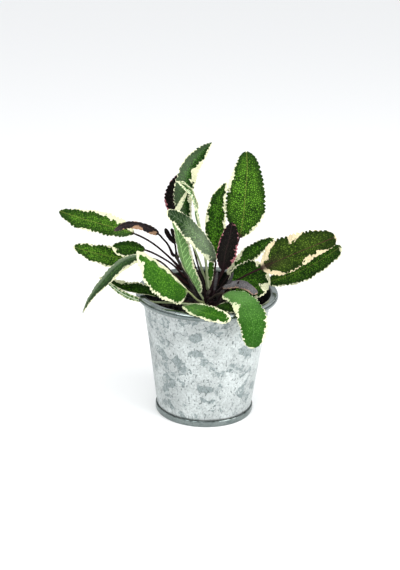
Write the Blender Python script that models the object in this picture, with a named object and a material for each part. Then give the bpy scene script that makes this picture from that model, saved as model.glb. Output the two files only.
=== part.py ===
"""Potted sage: a zinc pot, its soil, and a tricolour sage plant of separate stems and leaves."""
import math

import bmesh
import bpy
from mathutils import Vector

MM = 0.001

# ---- driving dimensions, millimetres ----
POT_HEIGHT = 107.5          # table to the top of the rolled rim
RIM_RADIUS = 60.0           # outside of the rolled rim
BEAD_RADIUS = 2.8           # rolled wire edge
WALL_TOP_RADIUS = 54.2      # outside of the sheet just under the rim
WALL_FOOT_RADIUS = 39.8     # outside of the sheet where it stands in the foot seam
WALL_SHEET = 0.8            # sheet thickness of the wall
FOOT_RADIUS = 41.9          # outside of the crimped foot seam
FOOT_HEIGHT = 5.2           # height of the foot seam
FOOT_TREAD = 1.6            # width of the ring that touches the table
BASE_RECESS = 1.2           # underside of the base disc above the table
BASE_SHEET = 0.8            # sheet thickness of the base disc
SOIL_DEPTH_BELOW_RIM = 14.0
SOIL_WAVE = 1.0             # height of the undulations of the soil surface
GAP = 0.3                   # clearance between neighbouring pieces
JOINT_GAP = 0.6             # nominal clearance of a leaf stalk from its stem
ROUND_STEPS = 60            # facets round the pot
SOIL_STEPS = 48             # facets round the soil
SOIL_EDGE = 2.0             # how far the soil drops to the wall
SOIL_RINGS = (0.985, 0.86, 0.68, 0.5, 0.32, 0.16)   # rings of the soil surface, share of radius

PLANTED_DEPTH = 9.0         # how far a stem goes into the soil
SOCKET_FLOOR = 0.5          # extra depth of the socket under a stem
STEM_FACETS = 12
STEM_TAPER = 0.3            # share of its radius a stem loses by its top
LEAF_FACETS = 10
STALK_RINGS = 5
BLADE_RINGS = 12
LEAF_THICKNESS = 0.8
STALK_RADIUS = 0.8
STALK_TIP_RADIUS = 0.5      # least half width of a blade near its tip
TIP_START = 0.996           # share of the blade where its rounded tip is capped
ROUNDED_END = 0.1           # share of the blade that each end is rounded over

# ---- stems: radius, then the line from the soil up (x, y, height over the soil) ----
STEMS = {
    "stem_centre": (2.2, [(1, -4, 0), (1, -4, 8), (2, -4, 15)]),
    "stem_back": (2.0, [(4, 9, 0), (4, 9, 9), (5, 10, 18)]),
    "stem_left": (1.6, [(-9, 5, 0), (-12, 6, 12), (-18, 5, 26), (-24, 3, 37), (-27, 1, 44)]),
    "stem_right": (2.0, [(10, 2, 0), (11, 2, 7), (12, 2, 13)]),
}

# ---- leaves ----
# stem, height of the joint over the soil, heading of the stalk (degrees, 0 = +X),
# stalk points, blade points from base to tip,
# half widths of the left and right half at the base, quarter, middle, three quarters and tip,
# fold of each half (degrees, positive lifts the margin), upper-face direction at base and tip
LEAVES = {
    "leaf_upper_left": ("stem_left", 29, 150, [(-34, 6, 135), (-47, 8, 145)],
                        [(-62, 10, 152), (-82, 12, 157), (-104, 14, 162), (-125, 16, 168)],
                        (4, 11, 12, 12, 4), (4, 11, 12, 9, 3), (8, 8), (0, -5, 8), (0, -5, 8)),
    "leaf_left_back": ("stem_left", 16, 170, [(-34, 9, 121), (-50, 8, 129)],
                       [(-62, 5, 132), (-78, 1, 134), (-95, -4, 139), (-111, -8, 145)],
                       (5, 11, 13, 10, 4), (5, 12, 10, 8, 4), (8, 8), (0, -5, 8), (0, -5, 8)),
    "leaf_left_inner": ("stem_left", 22, 215, [(-28, 0, 128), (-40, -3, 137)],
                        [(-52, -5, 143), (-65, -7, 146), (-79, -10, 146)],
                        (3, 9, 12, 11, 6), (2, 5, 6, 5, 3), (8, 8), (0, -6, 8), (0, -6, 8)),
    "leaf_drooping_left": ("stem_left", 9, 235, [(-22, -8, 116), (-35, -16, 134)],
                           [(-46, -20, 141), (-60, -25, 142), (-72, -29, 136), (-84, -32, 123),
                            (-94, -34, 110), (-101, -36, 98)],
                           (3, 8, 8, 3, 1), (3, 6, 7, 5, 1.5), (5, 5), (-1, -3, 9), (-8, -5, 5)),
    "leaf_bright": ("stem_centre", 4, 215, [(-8, -10, 102)],
                    [(-16, -16, 112), (-26, -24, 123), (-37, -30, 134), (-48, -38, 146),
                     (-57, -45, 154)],
                    (14, 19, 21, 17, 5), (5, 9, 11, 9, 4), (-30, -10), (3, -4, 9), (3, -4, 9)),
    "leaf_left_rim": ("stem_centre", 3, 180, [(-10, -5, 97), (-20, -8, 99)],
                      [(-31, -10, 102), (-48, -14, 107), (-68, -18, 112), (-89, -20, 123)],
                      (3, 4, 5, 5, 2), (3, 9, 11, 8, 3), (40, 10), (2, -4, 9), (4, -4, 9)),
    "leaf_young_left": ("stem_left", 43, 200, [(-33, -3, 147), (-37, -6, 153)],
                        [(-41, -8, 158), (-48, -10, 163), (-58, -13, 167), (-68, -15, 167),
                         (-77, -18, 163)],
                        (2, 5, 5, 4, 1), (2, 3, 3, 3, 1), (10, 10), (-5, -6, 7), (3, -6, 8)),
    "leaf_bud_outer": ("stem_left", 42, 90, [(-27, 5, 141)],
                       [(-28, 5, 146), (-33, 4, 153), (-36, 2, 160)],
                       (1, 2, 2, 2, 1), (1, 2, 2, 2, 1), (10, 10), (0, -8, 3), (0, -8, 3)),
    "leaf_bud_inner": ("stem_left", 41, 20, [(-24, 3, 140)],
                       [(-25, 3, 146), (-28, 3, 153), (-31, 2, 160)],
                       (1, 2, 2, 2, 1), (1, 2, 2, 2, 1), (10, 10), (0, -8, 3), (0, -8, 3)),
    "leaf_back_tall": ("stem_back", 12, 160, [(-6, 13, 118), (-13, 17, 142)],
                       [(-16, 19, 157), (-20, 21, 173), (-21, 22, 188), (-17, 24, 205),
                        (-8, 26, 218), (1, 28, 227)],
                       (3, 9, 9, 7, 1.5), (3, 7, 9, 7, 1.5), (20, 20), (-3, -9, 3), (3, -9, 5)),
    "leaf_centre_grey": ("stem_centre", 13, 75, [(5, -3, 116), (6, -6, 128)],
                         [(6, -8, 136), (-1, -12, 149), (-13, -18, 164), (-24, -24, 176),
                          (-34, -30, 184)],
                         (5, 8, 10, 8, 4), (3, 7, 10, 9, 4), (-8, -8), (3, -7, 5), (2, -6, 8)),
    "leaf_curled": ("stem_back", 15, 200, [(0, 9, 117), (-2, 10, 134)],
                    [(-6, 12, 152), (-11, 12, 168), (-12, 11, 179), (-16, 8, 191),
                     (-21, 5, 197), (-28, 2, 200)],
                    (1.5, 5, 6, 5, 1.5), (1.5, 5, 6, 5, 1.5), (15, 15), (9, 1, 4), (5, 2, 9)),
    "leaf_dark_back": ("stem_back", 7, 150, [(-5, 16, 108), (-16, 23, 135)],
                       [(-24, 28, 156), (-30, 30, 172), (-29, 31, 186), (-24, 32, 200)],
                       (2, 6, 8, 6, 1.5), (2, 6, 8, 6, 1.5), (10, 10), (-1, -9, 3), (2, -9, 5)),
    "leaf_folded": ("stem_centre", 5, 170, [(-3, -6, 101)],
                    [(-6, -8, 107), (-11, -9, 117), (-18, -11, 131), (-22, -13, 147),
                     (-26, -14, 163), (-31, -14, 178)],
                    (4, 6, 8, 7, 3), (4, 7, 10, 8, 3), (40, 40), (4, 9, 2), (4, 9, 2)),
    "leaf_upright": ("stem_back", 17, 240, [(4, 7, 118)],
                     [(4, 8, 128), (5, 11, 145), (6, 15, 165), (8, 18, 181), (14, 22, 195)],
                     (2, 7, 9, 7, 2), (2, 9, 9, 6, 2), (10, 10), (-2, -9, 3), (-2, -9, 4)),
    "leaf_tallest": ("stem_back", 14, 320, [(12, 10, 118), (20, 14, 132)],
                     [(26, 18, 148), (29, 22, 167), (30, 27, 185), (31, 32, 203), (30, 37, 218)],
                     (4, 16, 16, 12, 5), (5, 17, 17, 12, 5), (6, 6), (0, -9, 3), (0, -9, 4)),
    "leaf_purple": ("stem_centre", 11, 300, [(6, -10, 115)],
                    [(12, -13, 130), (14, -14, 144), (17, -13, 158), (19, -12, 171)],
                    (3, 7, 8, 7, 3), (3, 9, 9, 7, 3), (12, 12), (1, -9, 2), (1, -9, 2)),
    "leaf_right_big": ("stem_right", 10, 310, [(18, -5, 112), (28, -9, 122)],
                       [(44, -12, 132), (61, -13, 141), (82, -13, 151), (104, -12, 161)],
                       (6, 17, 17, 14, 6), (5, 14, 14, 10, 8), (6, 6), (-2, -7, 6), (-2, -7, 6)),
    "leaf_right_low": ("stem_right", 5, 20, [(28, 8, 102), (40, 10, 107)],
                       [(50, 10, 111), (68, 10, 118), (90, 9, 130), (111, 8, 146)],
                       (4, 8, 9, 8, 6), (4, 10, 14, 12, 9), (5, 5), (-3, -5, 8), (-3, -5, 8)),
    "leaf_right_back": ("stem_right", 11, 60, [(14, 9, 109)],
                        [(18, 13, 115), (30, 18, 127), (43, 23, 137), (56, 28, 145)],
                        (4, 8, 9, 7, 3), (4, 8, 8, 6, 3), (8, 8), (-3, -6, 8), (-3, -6, 8)),
    "leaf_right_inner": ("stem_right", 8, 350, [(15, 1, 103)],
                         [(19, 0, 107), (29, 1, 113), (40, 2, 118), (51, 3, 123)],
                         (5, 14, 17, 16, 9), (4, 13, 17, 16, 9), (5, 5), (-3, -9, 5), (-3, -9, 5)),
    "leaf_arched": ("stem_centre", 12, 340, [(8, -9, 109)],
                    [(13, -15, 116), (22, -20, 121), (32, -24, 121), (41, -29, 116)],
                    (3, 5, 6, 5, 3), (3, 5, 5, 5, 4), (-10, -10), (0, -4, 9), (4, -4, 9)),
    "leaf_front_drooping": ("stem_centre", 8, 290, [(4, -13, 105), (8, -20, 111)],
                            [(14, -28, 115), (24, -40, 117), (32, -53, 113), (37, -63, 101),
                             (37, -68, 84)],
                            (6, 10, 13, 14, 8), (6, 8, 11, 11, 7), (-8, -8),
                            (0, -4, 9), (3, -9, 2)),
    "leaf_front_low": ("stem_centre", 2, 260, [(-4, -15, 97), (-10, -26, 102)],
                       [(-16, -37, 107), (-9, -53, 110), (5, -64, 110), (19, -68, 108)],
                       (4, 7, 8, 7, 4), (4, 7, 8, 8, 5), (10, 10), (0, -5, 9), (0, -5, 9)),
    "leaf_front_inner": ("stem_centre", 3, 300, [(5, -13, 98)],
                         [(9, -19, 101), (15, -28, 104), (21, -36, 105), (26, -42, 104)],
                         (3, 7, 8, 6, 3), (3, 7, 8, 6, 3), (5, 5), (0, -4, 9), (0, -4, 9)),
    "leaf_young_centre": ("stem_centre", 7, 330, [(6, -6, 104)],
                          [(9, -6, 108), (13, -6, 116), (18, -6, 123)],
                          (1, 2, 2, 2, 1), (1, 2, 2, 2, 1), (10, 10), (-3, -9, 4), (-3, -9, 4)),
}

SOIL_TOP = POT_HEIGHT - SOIL_DEPTH_BELOW_RIM

# name: (base colour, metallic, roughness)
MATERIALS = {
    "zinc": ((0.62, 0.66, 0.68), 0.8, 0.45),
    "soil": ((0.03, 0.02, 0.015), 0.0, 0.95),
    "stem": ((0.20, 0.16, 0.12), 0.0, 0.8),
    "leaf_green": ((0.12, 0.30, 0.05), 0.0, 0.6),
    "leaf_grey": ((0.30, 0.40, 0.28), 0.0, 0.75),
    "leaf_purple": ((0.09, 0.05, 0.07), 0.0, 0.65),
}
GREY_LEAVES = {"leaf_centre_grey", "leaf_curled", "leaf_folded", "leaf_drooping_left"}
PURPLE_LEAVES = {"leaf_purple", "leaf_dark_back", "leaf_young_left", "leaf_bud_outer",
                 "leaf_bud_inner", "leaf_arched", "leaf_young_centre"}


def clear_scene():
    """Remove everything the file starts with."""
    for thing in list(bpy.data.objects):
        bpy.data.objects.remove(thing, do_unlink=True)


def make_material(name):
    """One Principled material from the table above."""
    colour, metallic, roughness = MATERIALS[name]
    material = bpy.data.materials.new(name)
    material.use_nodes = True
    shader = material.node_tree.nodes["Principled BSDF"]
    shader.inputs["Base Color"].default_value = (*colour, 1.0)
    shader.inputs["Metallic"].default_value = metallic
    shader.inputs["Roughness"].default_value = roughness
    material.diffuse_color = (*colour, 1.0)
    return material


def finish_object(name, mesh_builder, material_name, parent):
    """Turn a bmesh into a named, smooth-shaded object under the parent."""
    bmesh.ops.recalc_face_normals(mesh_builder, faces=mesh_builder.faces)
    mesh = bpy.data.meshes.new(name)
    mesh_builder.to_mesh(mesh)
    mesh_builder.free()
    for face in mesh.polygons:
        face.use_smooth = True
    thing = bpy.data.objects.new(name, mesh)
    thing.data.materials.append(bpy.data.materials[material_name])
    thing.parent = parent
    bpy.context.scene.collection.objects.link(thing)
    return thing


def turned_body(name, profile, steps, material_name, parent):
    """Turn a closed (radius, height) outline in millimetres round the Z axis."""
    builder = bmesh.new()
    corners = [builder.verts.new((radius * MM, 0.0, height * MM)) for radius, height in profile]
    on_axis = {i for i, (radius, height) in enumerate(profile) if radius == 0}
    edges = [builder.edges.new((corners[i - 1], corners[i])) for i in range(len(corners))
             if not {(i - 1) % len(corners), i} <= on_axis]
    bmesh.ops.spin(builder, geom=corners + edges, cent=(0, 0, 0), axis=(0, 0, 1),
                   angle=2 * math.pi, steps=steps, use_merge=True)
    bmesh.ops.remove_doubles(builder, verts=builder.verts, dist=0.02 * MM)
    return finish_object(name, builder, material_name, parent)


def wall_radius(height):
    """Outside radius of the tapered sheet at a height."""
    share = height / (POT_HEIGHT - BEAD_RADIUS)
    return WALL_FOOT_RADIUS + (WALL_TOP_RADIUS - WALL_FOOT_RADIUS) * share


def pot_wall(parent):
    """Tapered sheet whose top edge is rolled outwards into a bead."""
    foot = BASE_RECESS + BASE_SHEET + GAP
    bead_height = POT_HEIGHT - BEAD_RADIUS
    bead_centre = RIM_RADIUS - BEAD_RADIUS
    groove = bead_height - BEAD_RADIUS - 0.3
    profile = [(wall_radius(foot) - WALL_SHEET, foot), (wall_radius(foot), foot),
               (wall_radius(groove), groove)]
    bead_steps = 10
    for step in range(bead_steps + 1):
        angle = math.radians(-115 + 205 * step / bead_steps)
        profile.append((bead_centre + BEAD_RADIUS * math.cos(angle),
                        bead_height + BEAD_RADIUS * math.sin(angle)))
    inner_top = wall_radius(bead_height) - WALL_SHEET
    profile += [(inner_top + 1.2, POT_HEIGHT - 0.2), (inner_top + 0.3, POT_HEIGHT - 0.9),
                (inner_top, bead_height - 0.6)]
    return turned_body("pot_wall", profile, ROUND_STEPS, "zinc", parent)


def pot_base(parent):
    """Recessed disc whose edge is folded into the foot seam round the wall."""
    disc_top = BASE_RECESS + BASE_SHEET
    seam_inside = wall_radius(FOOT_HEIGHT) + GAP
    profile = [(0.0, disc_top), (0.0, BASE_RECESS),
               (FOOT_RADIUS - FOOT_TREAD - 1.0, BASE_RECESS),
               (FOOT_RADIUS - FOOT_TREAD - 0.5, 0.0), (FOOT_RADIUS - 0.5, 0.0),
               (FOOT_RADIUS - 0.1, 0.5), (FOOT_RADIUS, 2.4), (FOOT_RADIUS - 0.1, 4.6),
               (FOOT_RADIUS - 0.5, FOOT_HEIGHT), (seam_inside, FOOT_HEIGHT),
               (wall_radius(disc_top) + GAP, disc_top)]
    return turned_body("pot_base", profile, ROUND_STEPS, "zinc", parent)


def soil_height(x, y):
    """Height of the uneven soil surface at a place, all in millimetres."""
    wave = math.sin(0.21 * x + 0.6) * math.cos(0.17 * y) + 0.6 * math.sin(0.13 * x - 0.24 * y)
    return SOIL_TOP + SOIL_WAVE * 0.6 * wave


def soil(parent):
    """One solid of soil filling the pot, with an uneven top and a socket for each stem."""
    builder = bmesh.new()
    turns = [2 * math.pi * i / SOIL_STEPS for i in range(SOIL_STEPS)]
    loops = []
    for height in (BASE_RECESS + BASE_SHEET + GAP, SOIL_TOP - SOIL_EDGE):
        radius = wall_radius(height) - WALL_SHEET - GAP
        loops.append([builder.verts.new((radius * math.cos(turn) * MM,
                                         radius * math.sin(turn) * MM, height * MM))
                      for turn in turns])
    for share in SOIL_RINGS:
        radius = share * (wall_radius(SOIL_TOP) - WALL_SHEET - GAP)
        places = [(radius * math.cos(turn), radius * math.sin(turn)) for turn in turns]
        loops.append([builder.verts.new((x * MM, y * MM, soil_height(x, y) * MM))
                      for x, y in places])
    for lower, upper in zip(loops, loops[1:]):
        for i in range(SOIL_STEPS):
            j = (i + 1) % SOIL_STEPS
            builder.faces.new((lower[i], lower[j], upper[j], upper[i]))
    builder.faces.new(list(reversed(loops[0])))
    crown = builder.verts.new((0.0, 0.0, soil_height(0, 0) * MM))
    for i in range(SOIL_STEPS):
        builder.faces.new((loops[-1][i], loops[-1][(i + 1) % SOIL_STEPS], crown))
    body = finish_object("soil", builder, "soil", parent)
    for stem_name, (radius, line) in STEMS.items():
        bpy.ops.mesh.primitive_cylinder_add(
            vertices=24, radius=(radius + GAP) * MM,
            depth=2 * (PLANTED_DEPTH + SOCKET_FLOOR) * MM,
            location=(line[0][0] * MM, line[0][1] * MM, SOIL_TOP * MM))
        cutter = bpy.context.object
        cutter.name = stem_name + "_socket_cutter"
        cutter.hide_render = True
        cutter.display_type = "WIRE"
        cut = body.modifiers.new(stem_name + "_socket", "BOOLEAN")
        cut.operation = "DIFFERENCE"
        cut.solver = "EXACT"
        cut.object = cutter
    return body


def smooth_line(points, place):
    """Point on a rounded line through the points; place counts points from 0."""
    last = len(points) - 1
    index = min(int(place), last - 1)
    part = place - index
    here, there = points[index], points[index + 1]
    before = points[index - 1] if index else here * 2 - there
    after = points[index + 2] if index + 2 <= last else there * 2 - here
    return 0.5 * ((2 * here) + (there - before) * part
                  + (2 * before - 5 * here + 4 * there - after) * part ** 2
                  + (3 * here - before - 3 * there + after) * part ** 3)


def heading_at(points, place):
    """Unit direction of the rounded line at a place."""
    step = 0.02
    ahead = smooth_line(points, min(place + step, len(points) - 1))
    behind = smooth_line(points, max(place - step, 0))
    return (ahead - behind).normalized()


def loft(name, rings, material_name, parent):
    """Bridge rings of points (millimetres) into one closed body."""
    builder = bmesh.new()
    loops = [[builder.verts.new(point * MM) for point in ring] for ring in rings]
    for lower, upper in zip(loops, loops[1:]):
        for i in range(len(lower)):
            j = (i + 1) % len(lower)
            builder.faces.new((lower[i], lower[j], upper[j], upper[i]))
    builder.faces.new(list(reversed(loops[0])))
    builder.faces.new(loops[-1])
    return finish_object(name, builder, material_name, parent)


def stem_points(name):
    """Line of a stem above the soil as vectors in millimetres."""
    return [Vector((x, y, SOIL_TOP + height)) for x, y, height in STEMS[name][1]]


def stem(name, parent):
    """A round stem standing in its socket, drawn in at the top."""
    radius = STEMS[name][0]
    line = stem_points(name)
    foot = line[0] - Vector((0, 0, PLANTED_DEPTH))
    rings = []
    places = [0.0] + [i / 4 for i in range(1, 4 * (len(line) - 1) + 1)]
    sections = [(foot, Vector((0, 0, 1)), 0.9 * radius),
                (foot + Vector((0, 0, 1)), Vector((0, 0, 1)), radius)]
    for place in places:
        slim = 1 - STEM_TAPER * place / (len(line) - 1)
        direction = heading_at(line, place) if place else Vector((0, 0, 1))
        sections.append((smooth_line(line, place), direction, radius * slim))
    top, direction, last_radius = sections[-1]
    sections.append((top + direction * 0.5 * last_radius, direction, 0.6 * last_radius))
    for centre, direction, size in sections:
        side = direction.cross(Vector((0, 1, 0))).normalized()
        other = direction.cross(side)
        rings.append([centre + size * (side * math.cos(2 * math.pi * i / STEM_FACETS)
                                       + other * math.sin(2 * math.pi * i / STEM_FACETS))
                      for i in range(STEM_FACETS)])
    return loft(name, rings, "stem", parent)


def joint_point(stem_name, height, heading, first_point):
    """Where a leaf stalk starts, a gap away from the surface of its stem."""
    line = stem_points(stem_name)
    target = SOIL_TOP + height
    below = max(i for i in range(len(line) - 1) if line[i].z <= target)
    share = (target - line[below].z) / (line[below + 1].z - line[below].z)
    centre = smooth_line(line, below + share)
    turn = math.radians(heading)
    outward = Vector((math.cos(turn), math.sin(turn), 0))
    slant = 1 - (first_point - centre).normalized().dot(outward) ** 2
    stem_radius = STEMS[stem_name][0] * (1 - STEM_TAPER * (below + share) / (len(line) - 1))
    return centre + outward * (stem_radius + JOINT_GAP + STALK_RADIUS * math.sqrt(slant))


def half_width(widths, share):
    """Half width of a blade at a share of its length, rounded off at both ends."""
    end = min(1.0, min(share, 1 - share) / ROUNDED_END)
    return smooth_line(widths, share * (len(widths) - 1)) * math.sqrt(1 - (1 - end) ** 2)


def leaf(name, parent):
    """A leaf with its stalk: elliptical sections along a rounded line, folded at the midrib."""
    (stem_name, height, heading, stalk, blade, left_widths, right_widths, folds,
     face_base, face_tip) = LEAVES[name]
    route = [Vector(point) for point in stalk + blade]
    line = [joint_point(stem_name, height, heading, route[0])] + route
    base_place = 1 + len(stalk)
    last_place = len(line) - 1
    places = [(base_place * i / STALK_RINGS, 0.0) for i in range(STALK_RINGS)]
    for i in range(BLADE_RINGS):
        share = TIP_START * (1 - math.cos(math.pi * i / (BLADE_RINGS - 1))) / 2
        places.append((base_place + (last_place - base_place) * share, share))
    rings = []
    for place, share in places:
        along = heading_at(line, place)
        face = Vector(face_base).lerp(Vector(face_tip), share)
        face = (face - along * face.dot(along)).normalized()
        right = along.cross(face)
        centre = smooth_line(line, place)
        thick = max(LEAF_THICKNESS / 2, STALK_RADIUS * (1 - 4 * share))
        ring = []
        for i in range(LEAF_FACETS):
            angle = 2 * math.pi * (i + 0.5) / LEAF_FACETS
            across = math.cos(angle)
            side = 1 if across >= 0 else 0
            width = half_width((left_widths, right_widths)[side], share)
            width = max(width, STALK_RADIUS if share < 0.5 else STALK_TIP_RADIUS)
            fold = math.radians(folds[side]) * min(1.0, width / 3)
            out = width * across
            ring.append(centre + right * out * math.cos(fold)
                        + face * (abs(out) * math.sin(fold) + thick * math.sin(angle)))
        rings.append(ring)
    material_name = "leaf_green"
    if name in GREY_LEAVES:
        material_name = "leaf_grey"
    if name in PURPLE_LEAVES:
        material_name = "leaf_purple"
    return loft(name, rings, material_name, parent)


def main():
    """Build the whole plant in its pot."""
    clear_scene()
    for name in MATERIALS:
        make_material(name)
    root = bpy.data.objects.new("potted_sage", None)
    bpy.context.scene.collection.objects.link(root)
    pot_wall(root)
    pot_base(root)
    soil(root)
    for name in STEMS:
        stem(name, root)
    for name in LEAVES:
        leaf(name, root)


main()
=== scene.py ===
"""Potted tricolour sage: a zinc pot, soil, shoots and finished leaves in a small studio."""
import math
import random

import bmesh
import bpy
from bpy.props import FloatProperty, FloatVectorProperty, IntProperty, PointerProperty
from mathutils import Matrix, Vector, noise


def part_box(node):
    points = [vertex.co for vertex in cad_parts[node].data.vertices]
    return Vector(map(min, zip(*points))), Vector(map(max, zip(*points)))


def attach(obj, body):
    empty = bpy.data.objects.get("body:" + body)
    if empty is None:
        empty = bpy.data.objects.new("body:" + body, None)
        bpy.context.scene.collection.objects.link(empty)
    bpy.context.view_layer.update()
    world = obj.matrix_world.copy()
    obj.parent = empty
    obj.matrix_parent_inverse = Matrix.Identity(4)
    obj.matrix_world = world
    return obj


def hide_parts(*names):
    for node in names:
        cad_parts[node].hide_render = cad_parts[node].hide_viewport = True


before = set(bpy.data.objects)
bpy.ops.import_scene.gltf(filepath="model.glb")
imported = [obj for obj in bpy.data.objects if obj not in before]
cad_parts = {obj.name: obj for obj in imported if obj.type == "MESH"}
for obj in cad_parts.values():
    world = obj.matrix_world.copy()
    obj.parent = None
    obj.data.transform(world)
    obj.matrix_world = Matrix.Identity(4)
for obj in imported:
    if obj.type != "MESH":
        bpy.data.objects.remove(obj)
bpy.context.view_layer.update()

bl_info = {
    "name": "Potted sage",
    "version": (1, 0, 0),
    "blender": (4, 5, 0),
    "location": "View3D > Sidebar > Sage",
    "description": "Fine surfaces and finishes of a tricolour sage in a zinc pot",
    "category": "Add Mesh",
}

MM = 0.001
POT_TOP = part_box("pot_wall")[1].z / MM
RIM_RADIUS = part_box("pot_wall")[1].x / MM
FOOT_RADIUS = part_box("pot_base")[1].x / MM
FOOT_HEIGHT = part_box("pot_base")[1].z / MM

# ---- pot, millimetres ----
BEAD_RADIUS = 2.8
WALL_TOP_RADIUS = 54.2
WALL_FOOT_RADIUS = 39.8
WALL_SHEET = 0.8
BASE_RECESS = 1.2
BASE_SHEET = 0.8
BEAD_START = WALL_TOP_RADIUS + 0.6
BEAD_BOTTOM = POT_TOP - 2 * BEAD_RADIUS
POT_STEPS = 240
WALL_ROWS = 60
BEAD_ROWS = 24
INNER_ROWS = 12
SEAT_GAP = 0.3
# upright folds of the sheet: direction in radians, share of the dent depth, half width
DENTS = ((-0.62, 1.0, 0.03), (-0.47, 0.7, 0.025), (2.4, 0.8, 0.04))
# lapped seam at the back: direction, width, thickness and length of its steps
LAP = (1.45, 9, 0.6, 0.5)
# painted dark lines on the bead, for its dark reflections and the shade under it: place on its
# section from -1 to 1, then strength
BEAD_LINES = ((0.35, 0.75), (-0.85, 0.9))
SOIL_TOP = POT_TOP - 14.0
SOIL_WAVE = 0.6

# ---- shoots: radius, then the line from the soil up (x, y, height over the soil) ----
SHOOTS = {
    "centre": (2.2, [(1, -4, 0), (1, -4, 8), (2, -4, 15)]),
    "back": (2.0, [(4, 9, 0), (4, 9, 9), (5, 10, 18)]),
    "left": (1.6, [(-9, 5, 0), (-12, 6, 12), (-18, 5, 26), (-24, 3, 37), (-27, 1, 44)]),
    "right": (2.0, [(10, 2, 0), (11, 2, 7), (12, 2, 13)]),
}
SHOOT_TAPER = 0.3
JOINT_GAP = 0.6
STALK_RADIUS = 0.8
ROUNDED_END = 0.1
TIP_END = 0.998
STALK_ROWS = 22
LENGTH_PARTS = 40
COLUMN_WIDTH = 1.3
VEIN_SLANT = 0.8
RIB_WIDTH = 0.9
RIB_GROOVE = 0.25
THIN_EDGE = 0.55

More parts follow.
